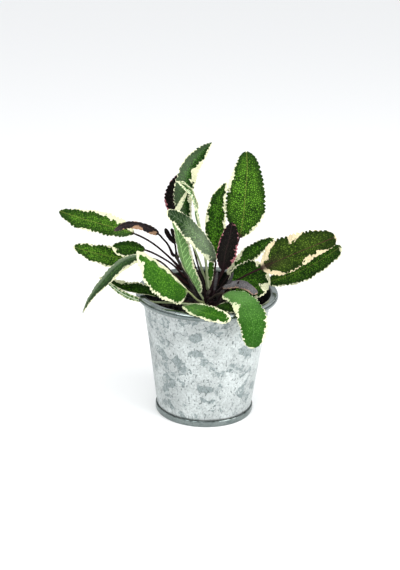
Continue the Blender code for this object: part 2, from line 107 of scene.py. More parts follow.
# ---- leaves ----
# shoot, height of the joint over the soil, heading of the stalk in degrees, stalk points,
# blade points from base to tip, half widths of the left and right half at the base, quarter,
# middle, three quarters and tip, fold of each half in degrees, upper-face direction at base
# and tip: the same routes as the solids.
ROUTES = {
    "upper_left": ("left", 29, 150, [(-34, 6, 135), (-47, 8, 145)],
        [(-62, 10, 152), (-82, 12, 157), (-104, 14, 162), (-125, 16, 168)], (4, 11, 12, 12, 4),
        (4, 11, 12, 9, 3), (8, 8), (0, -5, 8), (0, -5, 8)),
    "left_back": ("left", 16, 170, [(-34, 9, 121), (-50, 8, 129)], [(-62, 5, 132), (-78, 1, 134),
        (-95, -4, 139), (-111, -8, 145)], (5, 11, 13, 10, 4), (5, 12, 10, 8, 4), (8, 8),
        (0, -5, 8), (0, -5, 8)),
    "left_inner": ("left", 22, 215, [(-28, 0, 128), (-40, -3, 137)],
        [(-52, -5, 143), (-65, -7, 146), (-79, -10, 146)], (3, 9, 12, 11, 6), (2, 5, 6, 5, 3),
        (8, 8), (0, -6, 8), (0, -6, 8)),
    "drooping_left": ("left", 9, 235, [(-22, -8, 116), (-35, -16, 134)],
        [(-46, -20, 141), (-60, -25, 142), (-72, -29, 136), (-84, -32, 123), (-94, -34, 110),
        (-101, -36, 98)], (3, 8, 8, 3, 1), (3, 6, 7, 5, 1.5), (5, 5), (-1, -3, 9), (-8, -5, 5)),
    "bright": ("centre", 4, 215, [(-8, -10, 102)], [(-16, -16, 112), (-26, -24, 123),
        (-37, -30, 134), (-48, -38, 146), (-57, -45, 154)], (14, 19, 21, 17, 5), (5, 9, 11, 9, 4),
        (-30, -10), (3, -4, 9), (3, -4, 9)),
    "left_rim": ("centre", 3, 180, [(-10, -5, 97), (-20, -8, 99)],
        [(-31, -10, 102), (-48, -14, 107), (-68, -18, 112), (-89, -20, 123)], (3, 4, 5, 5, 2),
        (3, 9, 11, 8, 3), (40, 10), (2, -4, 9), (4, -4, 9)),
    "young_left": ("left", 43, 200, [(-33, -3, 147), (-37, -6, 153)],
        [(-41, -8, 158), (-48, -10, 163), (-58, -13, 167), (-68, -15, 167), (-77, -18, 163)],
        (2, 5, 5, 4, 1), (2, 3, 3, 3, 1), (10, 10), (-5, -6, 7), (3, -6, 8)),
    "bud_outer": ("left", 42, 90, [(-27, 5, 141)], [(-28, 5, 146), (-33, 4, 153), (-36, 2, 160)],
        (1, 2, 2, 2, 1), (1, 2, 2, 2, 1), (10, 10), (0, -8, 3), (0, -8, 3)),
    "bud_inner": ("left", 41, 20, [(-24, 3, 140)], [(-25, 3, 146), (-28, 3, 153), (-31, 2, 160)],
        (1, 2, 2, 2, 1), (1, 2, 2, 2, 1), (10, 10), (0, -8, 3), (0, -8, 3)),
    "back_tall": ("back", 12, 160, [(-6, 13, 118), (-13, 17, 142)],
        [(-16, 19, 157), (-20, 21, 173), (-21, 22, 188), (-17, 24, 205), (-8, 26, 218),
        (1, 28, 227)], (3, 9, 9, 7, 1.5), (3, 7, 9, 7, 1.5), (20, 20), (-3, -9, 3), (3, -9, 5)),
    "centre_grey": ("centre", 13, 75, [(5, -3, 116), (6, -6, 128)], [(6, -8, 136), (-1, -12, 149),
        (-13, -18, 164), (-24, -24, 176), (-34, -30, 184)], (5, 8, 10, 8, 4), (3, 7, 10, 9, 4),
        (-8, -8), (3, -7, 5), (2, -6, 8)),
    "curled": ("back", 15, 200, [(0, 9, 117), (-2, 10, 134)], [(-6, 12, 152), (-11, 12, 168),
        (-12, 11, 179), (-16, 8, 191), (-21, 5, 197), (-28, 2, 200)], (1.5, 5, 6, 5, 1.5),
        (1.5, 5, 6, 5, 1.5), (15, 15), (9, 1, 4), (5, 2, 9)),
    "dark_back": ("back", 7, 150, [(-5, 16, 108), (-16, 23, 135)], [(-24, 28, 156), (-30, 30, 172),
        (-29, 31, 186), (-24, 32, 200)], (2, 6, 8, 6, 1.5), (2, 6, 8, 6, 1.5), (10, 10),
        (-1, -9, 3), (2, -9, 5)),
    "folded": ("centre", 5, 170, [(-3, -6, 101)], [(-6, -8, 107), (-11, -9, 117), (-18, -11, 131),
        (-22, -13, 147), (-26, -14, 163), (-31, -14, 178)], (4, 6, 8, 7, 3), (4, 7, 10, 8, 3),
        (40, 40), (4, 9, 2), (4, 9, 2)),
    "upright": ("back", 17, 240, [(4, 7, 118)], [(4, 8, 128), (5, 11, 145), (6, 15, 165),
        (8, 18, 181), (14, 22, 195)], (2, 7, 9, 7, 2), (2, 9, 9, 6, 2), (10, 10), (-2, -9, 3),
        (-2, -9, 4)),
    "tallest": ("back", 14, 320, [(12, 10, 118), (20, 14, 132)], [(26, 18, 148), (29, 22, 167),
        (30, 27, 185), (31, 32, 203), (30, 37, 218)], (4, 16, 16, 12, 5), (5, 17, 17, 12, 5),
        (6, 6), (0, -9, 3), (0, -9, 4)),
    "purple": ("centre", 11, 300, [(6, -10, 115)], [(12, -13, 130), (14, -14, 144), (17, -13, 158),
        (19, -12, 171)], (3, 7, 8, 7, 3), (3, 9, 9, 7, 3), (12, 12), (1, -9, 2), (1, -9, 2)),
    "right_big": ("right", 10, 310, [(18, -5, 112), (28, -9, 122)],
        [(44, -12, 132), (61, -13, 141), (82, -13, 151), (104, -12, 161)], (6, 17, 17, 14, 6),
        (5, 14, 14, 10, 8), (6, 6), (-2, -7, 6), (-2, -7, 6)),
    "right_low": ("right", 5, 20, [(28, 8, 102), (40, 10, 107)], [(50, 10, 111), (68, 10, 118),
        (90, 9, 130), (111, 8, 146)], (4, 8, 9, 8, 6), (4, 10, 14, 12, 9), (5, 5), (-3, -5, 8),
        (-3, -5, 8)),
    "right_back": ("right", 11, 60, [(14, 9, 109)], [(18, 13, 115), (30, 18, 127), (43, 23, 137),
        (56, 28, 145)], (4, 8, 9, 7, 3), (4, 8, 8, 6, 3), (8, 8), (-3, -6, 8), (-3, -6, 8)),
    "right_inner": ("right", 8, 350, [(15, 1, 103)], [(19, 0, 107), (29, 1, 113), (40, 2, 118),
        (51, 3, 123)], (5, 14, 17, 16, 9), (4, 13, 17, 16, 9), (5, 5), (-3, -9, 5), (-3, -9, 5)),
    "arched": ("centre", 12, 340, [(8, -9, 109)], [(13, -15, 116), (22, -20, 121), (32, -24, 121),
        (41, -29, 116)], (3, 5, 6, 5, 3), (3, 5, 5, 5, 4), (-10, -10), (0, -4, 9), (4, -4, 9)),
    "front_drooping": ("centre", 8, 290, [(4, -13, 105), (8, -20, 111)],
        [(14, -28, 115), (24, -40, 117), (32, -53, 113), (37, -63, 101), (37, -68, 84)],
        (6, 10, 13, 14, 8), (6, 8, 11, 11, 7), (-8, -8), (0, -4, 9), (3, -9, 2)),
    "front_low": ("centre", 2, 260, [(-4, -15, 97), (-10, -26, 102)],
        [(-16, -37, 107), (-9, -53, 110), (5, -64, 110), (19, -68, 108)], (4, 7, 8, 7, 4),
        (4, 7, 8, 8, 5), (10, 10), (0, -5, 9), (0, -5, 9)),
    "front_inner": ("centre", 3, 300, [(5, -13, 98)], [(9, -19, 101), (15, -28, 104),
        (21, -36, 105), (26, -42, 104)], (3, 7, 8, 6, 3), (3, 7, 8, 6, 3), (5, 5), (0, -4, 9),
        (0, -4, 9)),
    "young_centre": ("centre", 7, 330, [(6, -6, 104)], [(9, -6, 108), (13, -6, 116),
        (18, -6, 123)], (1, 2, 2, 2, 1), (1, 2, 2, 2, 1), (10, 10), (-3, -9, 4), (-3, -9, 4)),
}

# ---- finishes of a leaf: upper face in painted shade (creases, edges) and painted light (pebble
# tops), veins with the strength of the side veins and the midrib, margin, underside, stalk, and
# how much felt lies on it ----
CREAM = (0.84, 0.84, 0.56)
BEIGE = (0.78, 0.66, 0.42)
ROSE = (0.40, 0.15, 0.17)
FINISHES = {
    "mid": dict(dark=(0.003, 0.020, 0.0005), light=(0.105, 0.270, 0.018), vein=(0.22, 0.25, 0.05),
        veins=0.08, rib=0.4, margin=CREAM, under=(0.19, 0.31, 0.12), stalk=(0.022, 0.009, 0.009),
        hair=(0.20, 0.34, 0.12), felt=0.06),
    "bright": dict(dark=(0.010, 0.060, 0.001), light=(0.082, 0.245, 0.014),
        vein=(0.14, 0.33, 0.04), veins=0.10, rib=0.25, margin=CREAM, under=(0.21, 0.35, 0.13),
        stalk=(0.30, 0.34, 0.16), hair=(0.26, 0.46, 0.17), felt=0.10),
    # deep green, also used on left_inner as painted shade of a leaf lying in shadow
    "deep": dict(dark=(0.002, 0.014, 0.0004), light=(0.060, 0.175, 0.010), vein=(0.10, 0.22, 0.03),
        veins=0.08, rib=0.2, margin=CREAM, under=(0.17, 0.28, 0.11), stalk=(0.020, 0.008, 0.008),
        hair=(0.20, 0.34, 0.12), felt=0.04),
    "olive": dict(dark=(0.006, 0.018, 0.0008), light=(0.078, 0.140, 0.014),
        vein=(0.055, 0.020, 0.018), veins=0.06, rib=0.8, margin=BEIGE, under=(0.17, 0.25, 0.10),
        stalk=(0.020, 0.008, 0.009), hair=(0.18, 0.24, 0.10), felt=0.04),
    "grey": dict(dark=(0.003, 0.018, 0.001), light=(0.130, 0.240, 0.070), vein=(0.26, 0.33, 0.22),
        veins=0.25, rib=0.15, margin=CREAM, under=(0.22, 0.34, 0.17), stalk=(0.025, 0.011, 0.013),
        hair=(0.32, 0.40, 0.27), felt=0.5),
    "felted": dict(dark=(0.014, 0.065, 0.004), light=(0.056, 0.178, 0.020),
        vein=(0.16, 0.32, 0.09), veins=0.08, rib=0.12, margin=CREAM, under=(0.22, 0.35, 0.15),
        stalk=(0.035, 0.025, 0.018), hair=(0.22, 0.47, 0.13), felt=0.30),
    "rimmed": dict(dark=(0.002, 0.016, 0.001), light=(0.050, 0.150, 0.018),
        vein=(0.12, 0.24, 0.07), veins=0.10, rib=0.1, margin=CREAM, under=(0.20, 0.31, 0.14),
        stalk=(0.030, 0.020, 0.016), hair=(0.36, 0.46, 0.30), felt=0.25),
    "pale": dict(dark=(0.030, 0.100, 0.010), light=(0.15, 0.31, 0.08), vein=(0.66, 0.76, 0.55),
        veins=0.75, rib=0.9, margin=CREAM, under=(0.18, 0.36, 0.11), stalk=(0.45, 0.52, 0.30),
        hair=(0.36, 0.52, 0.28), felt=0.20),
    "plum": dict(dark=(0.0015, 0.0012, 0.001), light=(0.015, 0.014, 0.009),
        vein=(0.030, 0.016, 0.016), veins=0.2, rib=0.5, margin=ROSE, under=(0.05, 0.035, 0.035),
        stalk=(0.013, 0.006, 0.007), hair=(0.13, 0.10, 0.11), felt=0.06),
    "tan": dict(dark=(0.004, 0.003, 0.003), light=(0.035, 0.022, 0.022), vein=(0.05, 0.03, 0.03),
        veins=0.2, rib=0.3, margin=(0.42, 0.25, 0.15), under=(0.09, 0.06, 0.05),
        stalk=(0.013, 0.006, 0.007), hair=(0.16, 0.13, 0.14), felt=0.20),
    "dusky": dict(dark=(0.014, 0.013, 0.014), light=(0.17, 0.16, 0.165), vein=(0.14, 0.12, 0.13),
        veins=0.3, rib=0.2, margin=(0.32, 0.17, 0.09), under=(0.14, 0.12, 0.11),
        stalk=(0.018, 0.008, 0.010), hair=(0.27, 0.26, 0.265), felt=0.5),
}

# ---- finish, margin, felt and painted light and shade of each leaf ----
# finish, reach of the pale margin left and right; then patches of margin: side, start and end
# share of the blade, reach; then covers of felt and painted light: side or 0 for both, start and
# end share, times the felt (partly a painted sheen highlight), times the brightness (painted light
# and shade). Sides are -1 for the left and 1 for the right half, and -2 or 2 for its outer part.
GREEN_LEAVES = {
    "upper_left": ("mid", 0.5, 0.8, [(1, 0.0, 0.55, 5.5), (1, 0.5, 0.8, 2.6),
        (-1, 0.52, 0.68, 2.4)], [(-1, 0.0, 0.32, 6.0, 0.8)]),
    "left_back": ("mid", 0.8, 0.8, [(1, 0.72, 0.80, 3.5), (1, 0.2, 0.5, 2.0), (-1, 0.4, 0.7, 1.6)],
        [(0, -0.1, 1.1, 1.0, 1.35), (0, 0.2, 0.8, 1.0, 1.3), (0, 0.6, 1.2, 1.0, 1.25)]),
    # the deep finish paints the shade this leaf lies in
    "left_inner": ("deep", 2.0, 0.5, [], []),
    "bright": ("bright", 2.2, 7.0, [(-1, 0.0, 0.22, 3.0), (-1, 0.8, 1.0, 6.0),
        (-1, 0.3, 0.36, 4.0)], [(-1, 0.0, 0.25, 1.0, 0.6)]),
    "left_rim": ("deep", 1.4, 1.8, [(1, 0.6, 0.95, 3.0)], []),
    "back_tall": ("rimmed", 0.8, 1.8, [(1, 0.5, 0.78, 5.5), (1, 0.26, 0.44, 4.2)],
        [(-1, -0.1, 0.8, 2.0, 1.15), (1, -0.1, 1.1, 0.0, 1.1)]),
    "upright": ("deep", 1.0, 1.9, [(-1, 0.45, 0.75, 1.8)], [(0, -0.1, 0.9, 1.0, 1.8),
        (0, 0.1, 0.7, 1.0, 1.35)]),
    "tallest": ("mid", 0.8, 0.25, [(-1, 0.5, 0.78, 3.2), (-1, 0.2, 0.45, 1.6),
        (1, 0.02, 0.3, 2.6)], [(0, 0.25, 0.75, 1.0, 1.25)]),
    "right_big": ("olive", 0.5, 0.6, [(-1, 0.02, 0.34, 7.0), (-1, 0.50, 0.68, 7.0),
        (1, 0.04, 0.32, 5.5), (1, 0.33, 0.55, 1.2), (1, 0.56, 0.86, 4.6)], []),
    "right_low": ("mid", 0.5, 1.2, [(1, 0.3, 0.5, 1.9)], []),
    "right_back": ("deep", 0.8, 1.8, [(-1, 0.03, 0.5, 4.2)], [(0, 0.5, 1.0, 1.0, 1.3)]),
    "right_inner": ("deep", 1.3, 1.6, [(1, 0.8, 1.0, 6.5), (-1, 0.86, 1.0, 4.5),
        (1, 0.5, 0.6, 4.0)], [(0, 0.0, 0.5, 1.0, 1.25)]),
    "front_drooping": ("felted", 0.5, 0.9, [(1, 0.34, 0.62, 4.6), (1, 0.0, 0.3, 1.6),
        (-1, 0.68, 0.94, 3.4)], [(0, -0.4, 0.5, 3.0, 1.5), (0, 0.6, 1.3, 0.1, 1.1)]),
    "front_low": ("bright", 1.3, 2.0, [(-1, 0.9, 1.0, 3.0), (1, 0.8, 0.9, 3.4)],
        [(0, -0.3, 0.5, 6.0, 1.1), (0, 0.6, 1.2, 0.4, 0.6)]),
    "front_inner": ("deep", 2.2, 1.0, [], []),
}
GREY_LEAVES = {
    # felt and brightness on the outer part of this leaf paint a sheen highlight along its outer
    # edge
    "drooping_left": ("rimmed", 0.8, 0.6, [(-1, 0.12, 0.55, 3.2)], [(2, -0.2, 1.2, 5.0, 1.4),
        (-1, -0.2, 1.2, 0.3, 0.8)]),
    "centre_grey": ("grey", 1.4, 0.9, [(-1, 0.1, 0.28, 4.0), (-1, 0.42, 0.58, 4.4),
        (-1, 0.66, 0.8, 2.6)], [(0, 0.55, 1.4, 0.0, 0.45), (0, -0.3, 0.5, 1.9, 1.4)]),
    "curled": ("pale", 2.2, 2.2, [], []),
    "folded": ("pale", 1.7, 1.7, [(1, 0.3, 0.5, 2.6)], [(0, -0.3, 1.3, 1.2, 1.25)]),
}
PURPLE_LEAVES = {
    "young_left": ("tan", 0.3, 0.2, [(-1, 0.1, 0.28, 4.0), (-1, 0.4, 0.66, 3.6)],
        [(0, 0.8, 1.2, 3.0, 1.5)]),
    "bud_outer": ("plum", 0.0, 0.0, [], []),
    "bud_inner": ("plum", 0.0, 0.0, [], []),
    "dark_back": ("plum", 0.4, 0.0, [(-1, 0.0, 0.45, 2.0)], []),
    "purple": ("plum", 0.15, 0.3, [(-1, 0.25, 0.8, 0.9), (1, 0.2, 0.62, 2.3)], []),
    "arched": ("dusky", 0.3, 1.0, [], [(0, -0.3, 1.3, 1.9, 1.8), (0, 0.3, 0.8, 0.6, 0.85)]),
    "young_centre": ("plum", 0.0, 0.0, [], []),
}

# share of the blade along which the stalk's colour runs out into the midrib
STALK_STAIN = {"right_big": 0.45, "purple": 0.2, "tallest": 0.1}

# ---- small leaves and folds that crowd the crown: the same kind of route, then the looks and
# the slot ----
SPROUTS = {
    "crown_right": (("centre", 7, 300, [(8, -12, 101)], [(13, -15, 111), (18, -17, 121),
        (21, -18, 130)], (0.8, 1.2, 1.5, 1.2, 0.6), (0.8, 1.2, 1.5, 1.2, 0.6), (25, 25),
        (-2, -9, 3), (-2, -9, 3)), ("dusky", 0.0, 0.0, [], [(0, -0.3, 1.3, 0.7, 0.6)]),
        "leaf_purple"),
    "crown_low": (("centre", 5, 310, [(11, -13, 99)], [(17, -17, 108), (22, -20, 116),
        (26, -22, 124)], (0.8, 1.1, 1.2, 1.0, 0.6), (0.8, 1.1, 1.2, 1.0, 0.6), (25, 25),
        (-3, -8, 4), (-3, -8, 4)), ("plum", 0.0, 0.0, [], []), "leaf_purple"),
    "crown_middle": (("centre", 10, 260, [(4, -10, 100)], [(6, -11, 111), (7, -12, 120),
        (8, -12, 128)], (0.8, 1.2, 1.4, 1.2, 0.6), (0.8, 1.2, 1.4, 1.2, 0.6), (25, 25), (0, -9, 2),
        (0, -9, 2)), ("dusky", 0.0, 0.0, [], [(0, -0.3, 1.3, 0.7, 0.6)]), "leaf_purple"),
    "crown_left": (("centre", 8, 215, [(-1, -10, 100)], [(-2, -11, 111), (-4, -12, 121),
        (-8, -12, 129)], (1.0, 1.5, 1.7, 1.5, 0.8), (1.0, 1.5, 1.7, 1.5, 0.8), (25, 25),
        (0, -9, 3), (0, -9, 3)), ("plum", 0.0, 0.0, [], []), "leaf_purple"),
    "crown_edge": (("centre", 3, 320, [(14, -15, 96)], [(18, -20, 102), (23, -24, 107),
        (27, -26, 111)], (1.0, 1.5, 1.7, 1.5, 0.8), (1.0, 1.5, 1.7, 1.5, 0.8), (25, 25),
        (-3, -7, 6), (-3, -7, 6)), ("plum", 0.0, 0.0, [], []), "leaf_purple"),
    "upright_foot": (("back", 8, 250, [(3, 2, 104)], [(3, 3, 114), (3, 4, 124), (3, 5, 134)],
        (1.5, 2.4, 2.6, 2.4, 1.2), (1.5, 2.4, 2.6, 2.4, 1.2), (10, 10), (0, -9, 1), (0, -9, 1)),
        ("bright", 0.2, 0.9, [], []), "leaf_green"),
    "curled_edge": (("back", 10, 200, [(-2, 8, 130), (-6, 7, 152)], [(-8, 5, 165), (-11, 4, 177),
        (-15, 2, 189), (-21, 1, 195), (-26, 0, 200)], (0.9, 1.6, 1.8, 1.4, 0.7),
        (0.9, 1.6, 1.8, 1.4, 0.7), (10, 10), (6, -6, 4), (2, -4, 9)), ("pale", 0.9, 0.9, [], []),
        "leaf_grey"),
    "curled_shard": (("back", 9, 180, [(-8, 9, 132), (-20, 8, 158)], [(-27, 6, 171), (-24, 6, 178),
        (-21, 6, 185), (-18, 6, 192)], (1.5, 2.6, 2.4, 1.6, 0.6), (1.0, 1.6, 1.4, 1.0, 0.5),
        (0, 0), (0, -9, 2), (0, -9, 2)), ("pale", 5.0, 1.2, [], []), "leaf_grey"),
    "rim_fold": (("centre", 3, 170, [(-10, -10, 98), (-28, -16, 101)],
        [(-45, -20, 103), (-57, -21, 105), (-67, -22, 109), (-76, -24, 116), (-86, -25, 126)],
        (1.2, 1.8, 2.2, 1.8, 0.6), (1.2, 2.4, 2.8, 2.0, 0.6), (0, 0), (-1, -9, 3), (-4, -8, 3)),
        ("pale", 0.8, 0.9, [], []), "leaf_grey"),
}

# ---------------------------------------------------------------- node trees
def feed(tree, socket, value):
    """Link a socket to another, or set its value."""
    if isinstance(value, bpy.types.NodeSocket):
        tree.links.new(value, socket)
    elif isinstance(value, tuple) and socket.type == "RGBA":
        socket.default_value = *value[:3], 1.0
    else:
        socket.default_value = value


def add_node(tree, kind, inputs=None, **settings):
    """Add a node, set its properties and feed its inputs by name or number."""
    node = tree.nodes.new(kind)
    for name, value in settings.items():
        setattr(node, name, value)
    for key, value in (inputs or {}).items():
        feed(tree, node.inputs[key], value)
    return node


def calc(tree, operation, first, second=0.0, third=0.0, clamp=False):
    """One Math node."""
    node = add_node(tree, "ShaderNodeMath", operation=operation, use_clamp=clamp)
    for socket, value in zip(node.inputs, (first, second, third)):
        feed(tree, socket, value)
    return node.outputs[0]


def times(tree, first, second, clamp=False):
    """Product of two values."""
    return calc(tree, "MULTIPLY", first, second, clamp=clamp)


def times_plus(tree, first, second, third):
    """Product of two values, plus a third."""
    return calc(tree, "MULTIPLY_ADD", first, second, third)


def less(tree, first, second):
    """First value less the second."""
    return calc(tree, "SUBTRACT", first, second)


def vector_calc(tree, operation, inputs):
    """One Vector Math node."""
    return add_node(tree, "ShaderNodeVectorMath", inputs, operation=operation).outputs[0]


def noise_at(tree, place, scale, detail, roughness=0.5):
    """Value of a noise."""
    return add_node(tree, "ShaderNodeTexNoise", {"Vector": place, "Scale": scale, "Detail": detail,
        "Roughness": roughness}).outputs[0]


def cell_colour(tree, place, scale, part):
    """One channel of the random colour of the cell round a place."""
    cells = add_node(tree, "ShaderNodeTexVoronoi", {"Vector": place, "Scale": scale})
    return add_node(tree, "ShaderNodeSeparateColor", {0: cells.outputs["Color"]}).outputs[part]


def cell_edge(tree, place, scale):
    """Distance to the edge of the cell round a place."""
    return add_node(tree, "ShaderNodeTexVoronoi", {"Vector": place, "Scale": scale},
        feature="DISTANCE_TO_EDGE").outputs["Distance"]


def split(tree, vector):
    """The three parts of a vector."""
    return add_node(tree, "ShaderNodeSeparateXYZ", {0: vector}).outputs


def join(tree, first, second, third=0.0):
    """A vector from three parts."""
    return add_node(tree, "ShaderNodeCombineXYZ", {0: first, 1: second, 2: third}).outputs[0]


def kept_parts(tree, name):
    """The three values kept on each point of a piece under a name."""
    kept = add_node(tree, "ShaderNodeAttribute", attribute_name=name)
    return split(tree, kept.outputs["Vector"])


def object_place(tree):
    """Place on the piece in metres."""
    return add_node(tree, "ShaderNodeTexCoord").outputs["Object"]


def carve(tree, shader, height, strength, depth):
    """Bump of a surface from a height, with its depth in millimetres."""
    bump = add_node(tree, "ShaderNodeBump", {"Height": height, "Strength": strength,
        "Distance": depth * MM})
    feed(tree, shader.inputs["Normal"], bump.outputs[0])


def ramp(tree, value, start, end):
    """Smooth step of a value from 0 at start to 1 at end."""
    node = add_node(tree, "ShaderNodeMapRange", interpolation_type="SMOOTHSTEP",
        inputs={"Value": value, "From Min": start, "From Max": end})
    return node.outputs["Result"]


def blend_colour(tree, factor, first, second):
    """Mix two colours."""
    node = add_node(tree, "ShaderNodeMix", data_type="RGBA")
    feed(tree, node.inputs["Factor"], factor)
    feed(tree, node.inputs[6], first)
    feed(tree, node.inputs[7], second)
    return node.outputs[2]


def shade(colour, times_bright):
    """A colour made darker or brighter."""
    return tuple(times_bright * part for part in colour)


def new_group(name, inputs, outputs):
    """An empty shader node group with named sockets."""
    group = bpy.data.node_groups.new(name, "ShaderNodeTree")
    for label, kind, value in inputs:
        socket = group.interface.new_socket(label, in_out="INPUT", socket_type="NodeSocket" + kind)
        if value is not None:
            socket.default_value = value
    for label, kind in outputs:
        group.interface.new_socket(label, in_out="OUTPUT", socket_type="NodeSocket" + kind)
    start = group.nodes.new("NodeGroupInput")
    end = group.nodes.new("NodeGroupOutput")
    return group, start.outputs, end.inputs


def margin_group():
    """Pale margin of a leaf: the green runs out into it in teeth, with torn steps and a halo."""
    name = "Leaf margin"
    if name in bpy.data.node_groups:
        return bpy.data.node_groups[name]
    group, given, made = new_group(name, [("Edge", "Float", 5.0), ("Along", "Float", 0.0),
        ("Across", "Float", 0.0), ("Reach", "Float", 1.0), ("Tooth Pitch", "Float", 3.3),
        ("Tooth Depth", "Float", 1.0), ("Raggedness", "Float", 1.2), ("Seed", "Float", 0.0)],
        [("Pale", "Float"), ("Halo", "Float")])
    place = join(group, given["Along"], given["Across"], given["Seed"])
    cell = cell_colour(group, place, 0.5, 0)
    fine = noise_at(group, place, 1.1, 3.0)
    wave = times(group, calc(group, "DIVIDE", given["Along"], given["Tooth Pitch"]), math.pi)
    tooth = calc(group, "POWER", calc(group, "ABSOLUTE", calc(group, "SINE", wave)), 0.7)
    ragged = calc(group, "ADD", less(group, cell, 0.5), less(group, fine, 0.5))
    spread = times_plus(group, given["Reach"], 0.22, given["Raggedness"])
    limit = times_plus(group, ragged, spread, given["Reach"])
    limit = less(group, limit, times(group, less(group, tooth, 0.5), given["Tooth Depth"]))
    present = ramp(group, given["Reach"], 0.02, 0.25)
    inside = less(group, limit, given["Edge"])
    feed(group, made["Pale"], times(group, ramp(group, inside, -0.12, 0.15), present))
    near = times_plus(group, cell, 0.9, inside)
    feed(group, made["Halo"], times(group, ramp(group, near, -0.2, 0.4), present))
    return group


def pebble_group():
    """Pebbled leaf surface with side veins: tone (random mottling, with painted light on each
    pebble and painted shade in the creases between them), veins, midrib and height.
    """
    name = "Leaf pebbling"
    if name in bpy.data.node_groups:
        return bpy.data.node_groups[name]
    group, given, made = new_group(name, [("Along", "Float", 0.0), ("Across", "Float", 0.0),
        ("Seed", "Float", 0.0), ("Pebble Size", "Float", 1.3), ("Vein Spacing", "Float", 4.6)],
        [("Tone", "Float"), ("Vein", "Float"), ("Rib", "Float"), ("Height", "Float")])
    place = join(group, given["Along"], given["Across"], given["Seed"])
    finer = calc(group, "DIVIDE", 1.0, given["Pebble Size"])
    dome = cell_edge(group, place, finer)
    spot = cell_colour(group, place, finer, 1)
    broad = noise_at(group, place, 0.13, 2.0)
    wobble = noise_at(group, place, 0.3, 1.0)
    aside = calc(group, "ABSOLUTE", given["Across"])
    slant = times_plus(group, aside, -0.8, given["Along"])
    slant = times_plus(group, wobble, 2.4, slant)
    turn = calc(group, "FRACT", calc(group, "DIVIDE", slant, given["Vein Spacing"]))
    off = times(group, calc(group, "ABSOLUTE", less(group, turn, 0.5)), given["Vein Spacing"])
    vein = less(group, 1.0, ramp(group, off, 0.05, 0.45))
    rib = less(group, 1.0, ramp(group, aside, 0.15, 0.5))
    # painted light on the top of each pebble and painted shade in the creases between them
    domed = ramp(group, dome, 0.0, 0.4)
    lit = times(group, domed, times_plus(group, spot, 0.4, 0.62))
    tone = calc(group, "ADD", lit, times(group, less(group, broad, 0.5), 0.5), clamp=True)
    feed(group, made["Tone"], tone)
    feed(group, made["Vein"], vein)
    feed(group, made["Rib"], rib)
    deep = calc(group, "MAXIMUM", vein, rib)
    feed(group, made["Height"], times_plus(group, deep, -0.6, domed))
    return group


def felt_group():
    """Fine pale hairs lying on a surface."""
    name = "Felt hairs"
    if name in bpy.data.node_groups:
        return bpy.data.node_groups[name]
    group, given, made = new_group(name, [("Along", "Float", 0.0), ("Across", "Float", 0.0),
        ("Amount", "Float", 0.5)], [("Hairs", "Float")])
    place = join(group, times(group, given["Along"], 1.4), times(group, given["Across"], 3.0))
    hair = noise_at(group, place, 1.6, 4.0, 0.7)
    cover = noise_at(group, place, 0.12, 2.0)
    low = times_plus(group, given["Amount"], -0.35, 0.72)
    high = calc(group, "ADD", low, 0.18)
    hairs = add_node(group, "ShaderNodeMapRange", {"Value": hair, "From Min": low,
        "From Max": high}).outputs[0]
    feed(group, made["Hairs"], times(group, hairs, ramp(group, cover, 0.25, 0.6)))
    return group


def spangle_group():
    """Galvanised sheet: crystal patches with crisp edges, mottling, specks and fine lines."""
    name = "Zinc spangle"
    if name in bpy.data.node_groups:
        return bpy.data.node_groups[name]
    group, given, made = new_group(name, [("Vector", "Vector", None), ("Patch Size", "Float", 9.0),
        ("Speck Size", "Float", 1.5), ("Dirt", "Float", 0.5)],
        [("Patch", "Float"), ("Line", "Float"), ("Speck", "Float"), ("Mottle", "Float"),
        ("Bloom", "Float"), ("Height", "Float")])
    bend = add_node(group, "ShaderNodeTexNoise", {"Vector": given["Vector"], "Scale": 0.1,
        "Detail": 5.0}).outputs["Color"]
    centred = vector_calc(group, "SUBTRACT", {0: bend, 1: (0.5, 0.5, 0.5)})
    shift = vector_calc(group, "SCALE", {0: centred, "Scale": 7.0})
    moved = vector_calc(group, "ADD", {0: given["Vector"], 1: shift})
    scale = calc(group, "DIVIDE", 1.0, given["Patch Size"])
    finer = times(group, scale, 2.7)
    cell = cell_colour(group, moved, scale, 0)
    chip = cell_colour(group, moved, finer, 1)
    bloom = noise_at(group, given["Vector"], 0.045, 4.0, 0.6)
    patch = times_plus(group, chip, 0.3, times(group, cell, 0.7))
    patch = times_plus(group, bloom, 0.5, patch)
    crisp = add_node(group, "ShaderNodeMapRange", {"Value": patch, "From Min": 0.95,
        "From Max": 0.98}).outputs[0]
    faint = add_node(group, "ShaderNodeMapRange", {"Value": patch, "From Min": 0.84,
        "From Max": 0.88}).outputs[0]
    feed(group, made["Patch"], times_plus(group, crisp, 0.62, times(group, faint, 0.33)))
    seam = cell_edge(group, moved, scale)
    thin = less(group, 1.0, ramp(group, seam, 0.0, 0.06))
    mottle = noise_at(group, given["Vector"], 0.5, 8.0, 0.8)
    some = times(group, ramp(group, bloom, 0.44, 0.58), ramp(group, mottle, 0.55, 0.42))
    feed(group, made["Line"], times(group, thin, some))
    drawn = vector_calc(group, "MULTIPLY", {0: given["Vector"], 1: (1.0, 1.0, 0.55)})
    speck = noise_at(group, drawn, calc(group, "DIVIDE", 1.0, given["Speck Size"]), 3.0)
    low = times_plus(group, given["Dirt"], -0.08, 0.64)
    feed(group, made["Speck"], ramp(group, speck, low, 0.65))
    feed(group, made["Mottle"], ramp(group, mottle, 0.36, 0.6))
    feed(group, made["Bloom"], ramp(group, bloom, 0.35, 0.68))
    feed(group, made["Height"], times_plus(group, patch, 0.5, mottle))
    return group


def new_material(name):
    """A material whose Principled shader is ready to be fed."""
    material = bpy.data.materials.new(name)
    material.use_nodes = True
    return material, material.node_tree, material.node_tree.nodes["Principled BSDF"]


def group_node(tree, group, inputs):
    """Place a node group with its own values."""
    node = tree.nodes.new("ShaderNodeGroup")
    node.node_tree = group
    for key, value in inputs.items():
        feed(tree, node.inputs[key], value)
    return node.outputs


